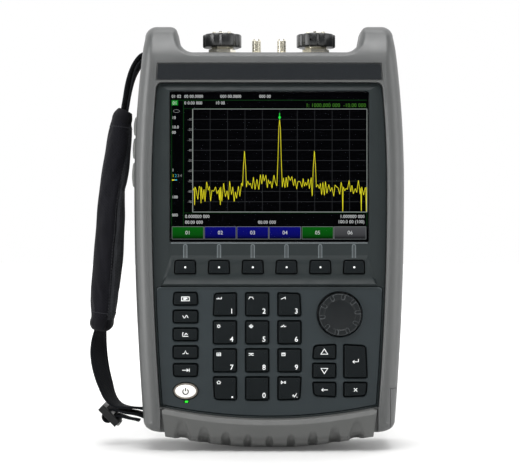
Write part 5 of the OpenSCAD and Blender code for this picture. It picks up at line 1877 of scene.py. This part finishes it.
# pale end of the slider, towards the base
tb = Build()
rings = []
for u, k in ((-7.4, 1.0), (-8.6, 1.0), (-9.3, 0.85), (-9.6, 0.5)):
    ring = []
    for y, n in ((-8.5, 1.3), (8.5, 1.3), (8.5, -1.3), (-8.5, -1.3)):
        q = sc + u * su + n * k * sn
        ring.append((q.x, y * (0.9 + 0.1 * k), q.y))
    rings.append(ring)
tb.add(*loft(rings))
put("slider_end", tb, ["tag"], smooth=30, bevel=0.25)


def led_mat():
    m, nt, b = new_mat("led_green")
    vec = coords(nt)
    f = noise(nt, vec, 1.2, 2.0)
    col = ramp(nt, f, [(0.25, shade(lin((20, 215, 30)), 0.9)), (0.75, shade(lin((60, 255, 60)), 1.0))])
    nt.links.new(col, b.inputs["Base Color"])
    nt.links.new(col, b.inputs["Emission Color"])
    b.inputs["Emission Strength"].default_value = 0.5
    nt.links.new(remap(nt, f, 0.25, 0.35), b.inputs["Roughness"])
    return m


M["led"] = led_mat()
b = Build()
rings = []
for g, y in ((0.0, -27.0), (0.0, -31.5), (-0.12, -31.7), (-0.35, -31.8)):
    rings.append([(x, y, z) for x, z in rr(-55.8, 33.9, 2.2, 1.0, 0.48, g, 5)])
b.add(*loft(rings))
put("power_led_lens", b, ["led"], replaces=["power_led"], smooth=40, weighted=False)

# ------------------------------------------------------------------ camera, light, floor
cam = bpy.data.cameras.new("cam")
cam.lens = 99.53
cam.sensor_width = 36.0
cam.clip_start = 0.01
cam.clip_end = 50
co = bpy.data.objects.new("cam", cam)
co.location = (-0.00626, -1.0, 0.147)
co.rotation_euler = (math.pi / 2, 0, 0)
scene.collection.objects.link(co)
scene.camera = co


def floor_mat():
    """Pale sweep: matt near the object, and lit from within further out so that it runs into the white surround."""
    m, nt, b = new_mat("floor_pale")
    vec = coords(nt)
    f = noise(nt, vec, 60.0, 3.0)
    nt.links.new(ramp(nt, f, [(0.3, (0.78, 0.78, 0.775, 1)), (0.7, (0.80, 0.80, 0.795, 1))]), b.inputs["Base Color"])
    far = nt.nodes.new("ShaderNodeVectorMath")
    far.operation = "LENGTH"
    nt.links.new(vec, far.inputs[0])
    nt.links.new(remap(nt, far.outputs["Value"], 0.06, 0.6, 0.12, 0.75), b.inputs["Emission Strength"])
    b.inputs["Emission Color"].default_value = (1, 1, 1, 1)
    b.inputs["Roughness"].default_value = 0.85
    b.inputs["Specular IOR Level"].default_value = 0.1
    return m


fm_ = bpy.data.meshes.new("floor")
fm_.from_pydata([(-6, -6, 0), (6, -6, 0), (6, 6, 0), (-6, 6, 0)], [], [(0, 1, 2, 3)])
fm_.materials.append(floor_mat())
fo = bpy.data.objects.new("floor", fm_)
scene.collection.objects.link(fo)


def area(name, loc, target, size, power, size_y=None):
    l = bpy.data.lights.new(name, "AREA")
    l.energy = power
    l.size = size
    if size_y:
        l.shape = "RECTANGLE"
        l.size_y = size_y
    o = bpy.data.objects.new(name, l)
    o.location = loc
    o.rotation_euler = (Vector(target) - Vector(loc)).to_track_quat("-Z", "Y").to_euler()
    scene.collection.objects.link(o)
    return o


area("left_strip", (-1.09, -0.60, 0.25), (-0.08, 0, 0.15), 0.42, 11.0, 1.2)
area("front_top", (0.0, -0.80, 1.02), (0, 0, 0.2), 0.9, 11.5, 0.45)
area("right_fill", (1.05, -0.45, 0.30), (0.08, 0, 0.15), 0.7, 4.6, 1.0)
area("top_light", (0.0, 0.05, 1.25), (0, 0, 0.1), 0.8, 4.0, 0.6)

world = bpy.data.worlds.new("studio")
world.use_nodes = True
wt = world.node_tree
wt.nodes.clear()
wo = wt.nodes.new("ShaderNodeOutputWorld")
bg_seen = wt.nodes.new("ShaderNodeBackground")
bg_seen.inputs["Color"].default_value = (1, 1, 1, 1)
bg_seen.inputs["Strength"].default_value = 1.0
bg_light = wt.nodes.new("ShaderNodeBackground")
tcw = wt.nodes.new("ShaderNodeTexCoord")
sep = wt.nodes.new("ShaderNodeSeparateXYZ")
wt.links.new(tcw.outputs["Generated"], sep.inputs[0])
# dim behind the camera, bright behind and above the object
mr = wt.nodes.new("ShaderNodeMapRange")
mr.interpolation_type = "SMOOTHSTEP"
mr.inputs["From Min"].default_value = -0.5
mr.inputs["From Max"].default_value = 0.45
mr.inputs["To Min"].default_value = 0.09
mr.inputs["To Max"].default_value = 1.0
wt.links.new(sep.outputs["Y"], mr.inputs["Value"])
wt.links.new(mr.outputs["Result"], bg_light.inputs["Color"])
bg_light.inputs["Strength"].default_value = 1.3
lp = wt.nodes.new("ShaderNodeLightPath")
mx = wt.nodes.new("ShaderNodeMixShader")
wt.links.new(lp.outputs["Is Camera Ray"], mx.inputs["Fac"])
wt.links.new(bg_light.outputs[0], mx.inputs[1])
wt.links.new(bg_seen.outputs[0], mx.inputs[2])
wt.links.new(mx.outputs[0], wo.inputs["Surface"])
scene.world = world
scene.view_settings.view_transform = "Standard"
scene.view_settings.look = "None"
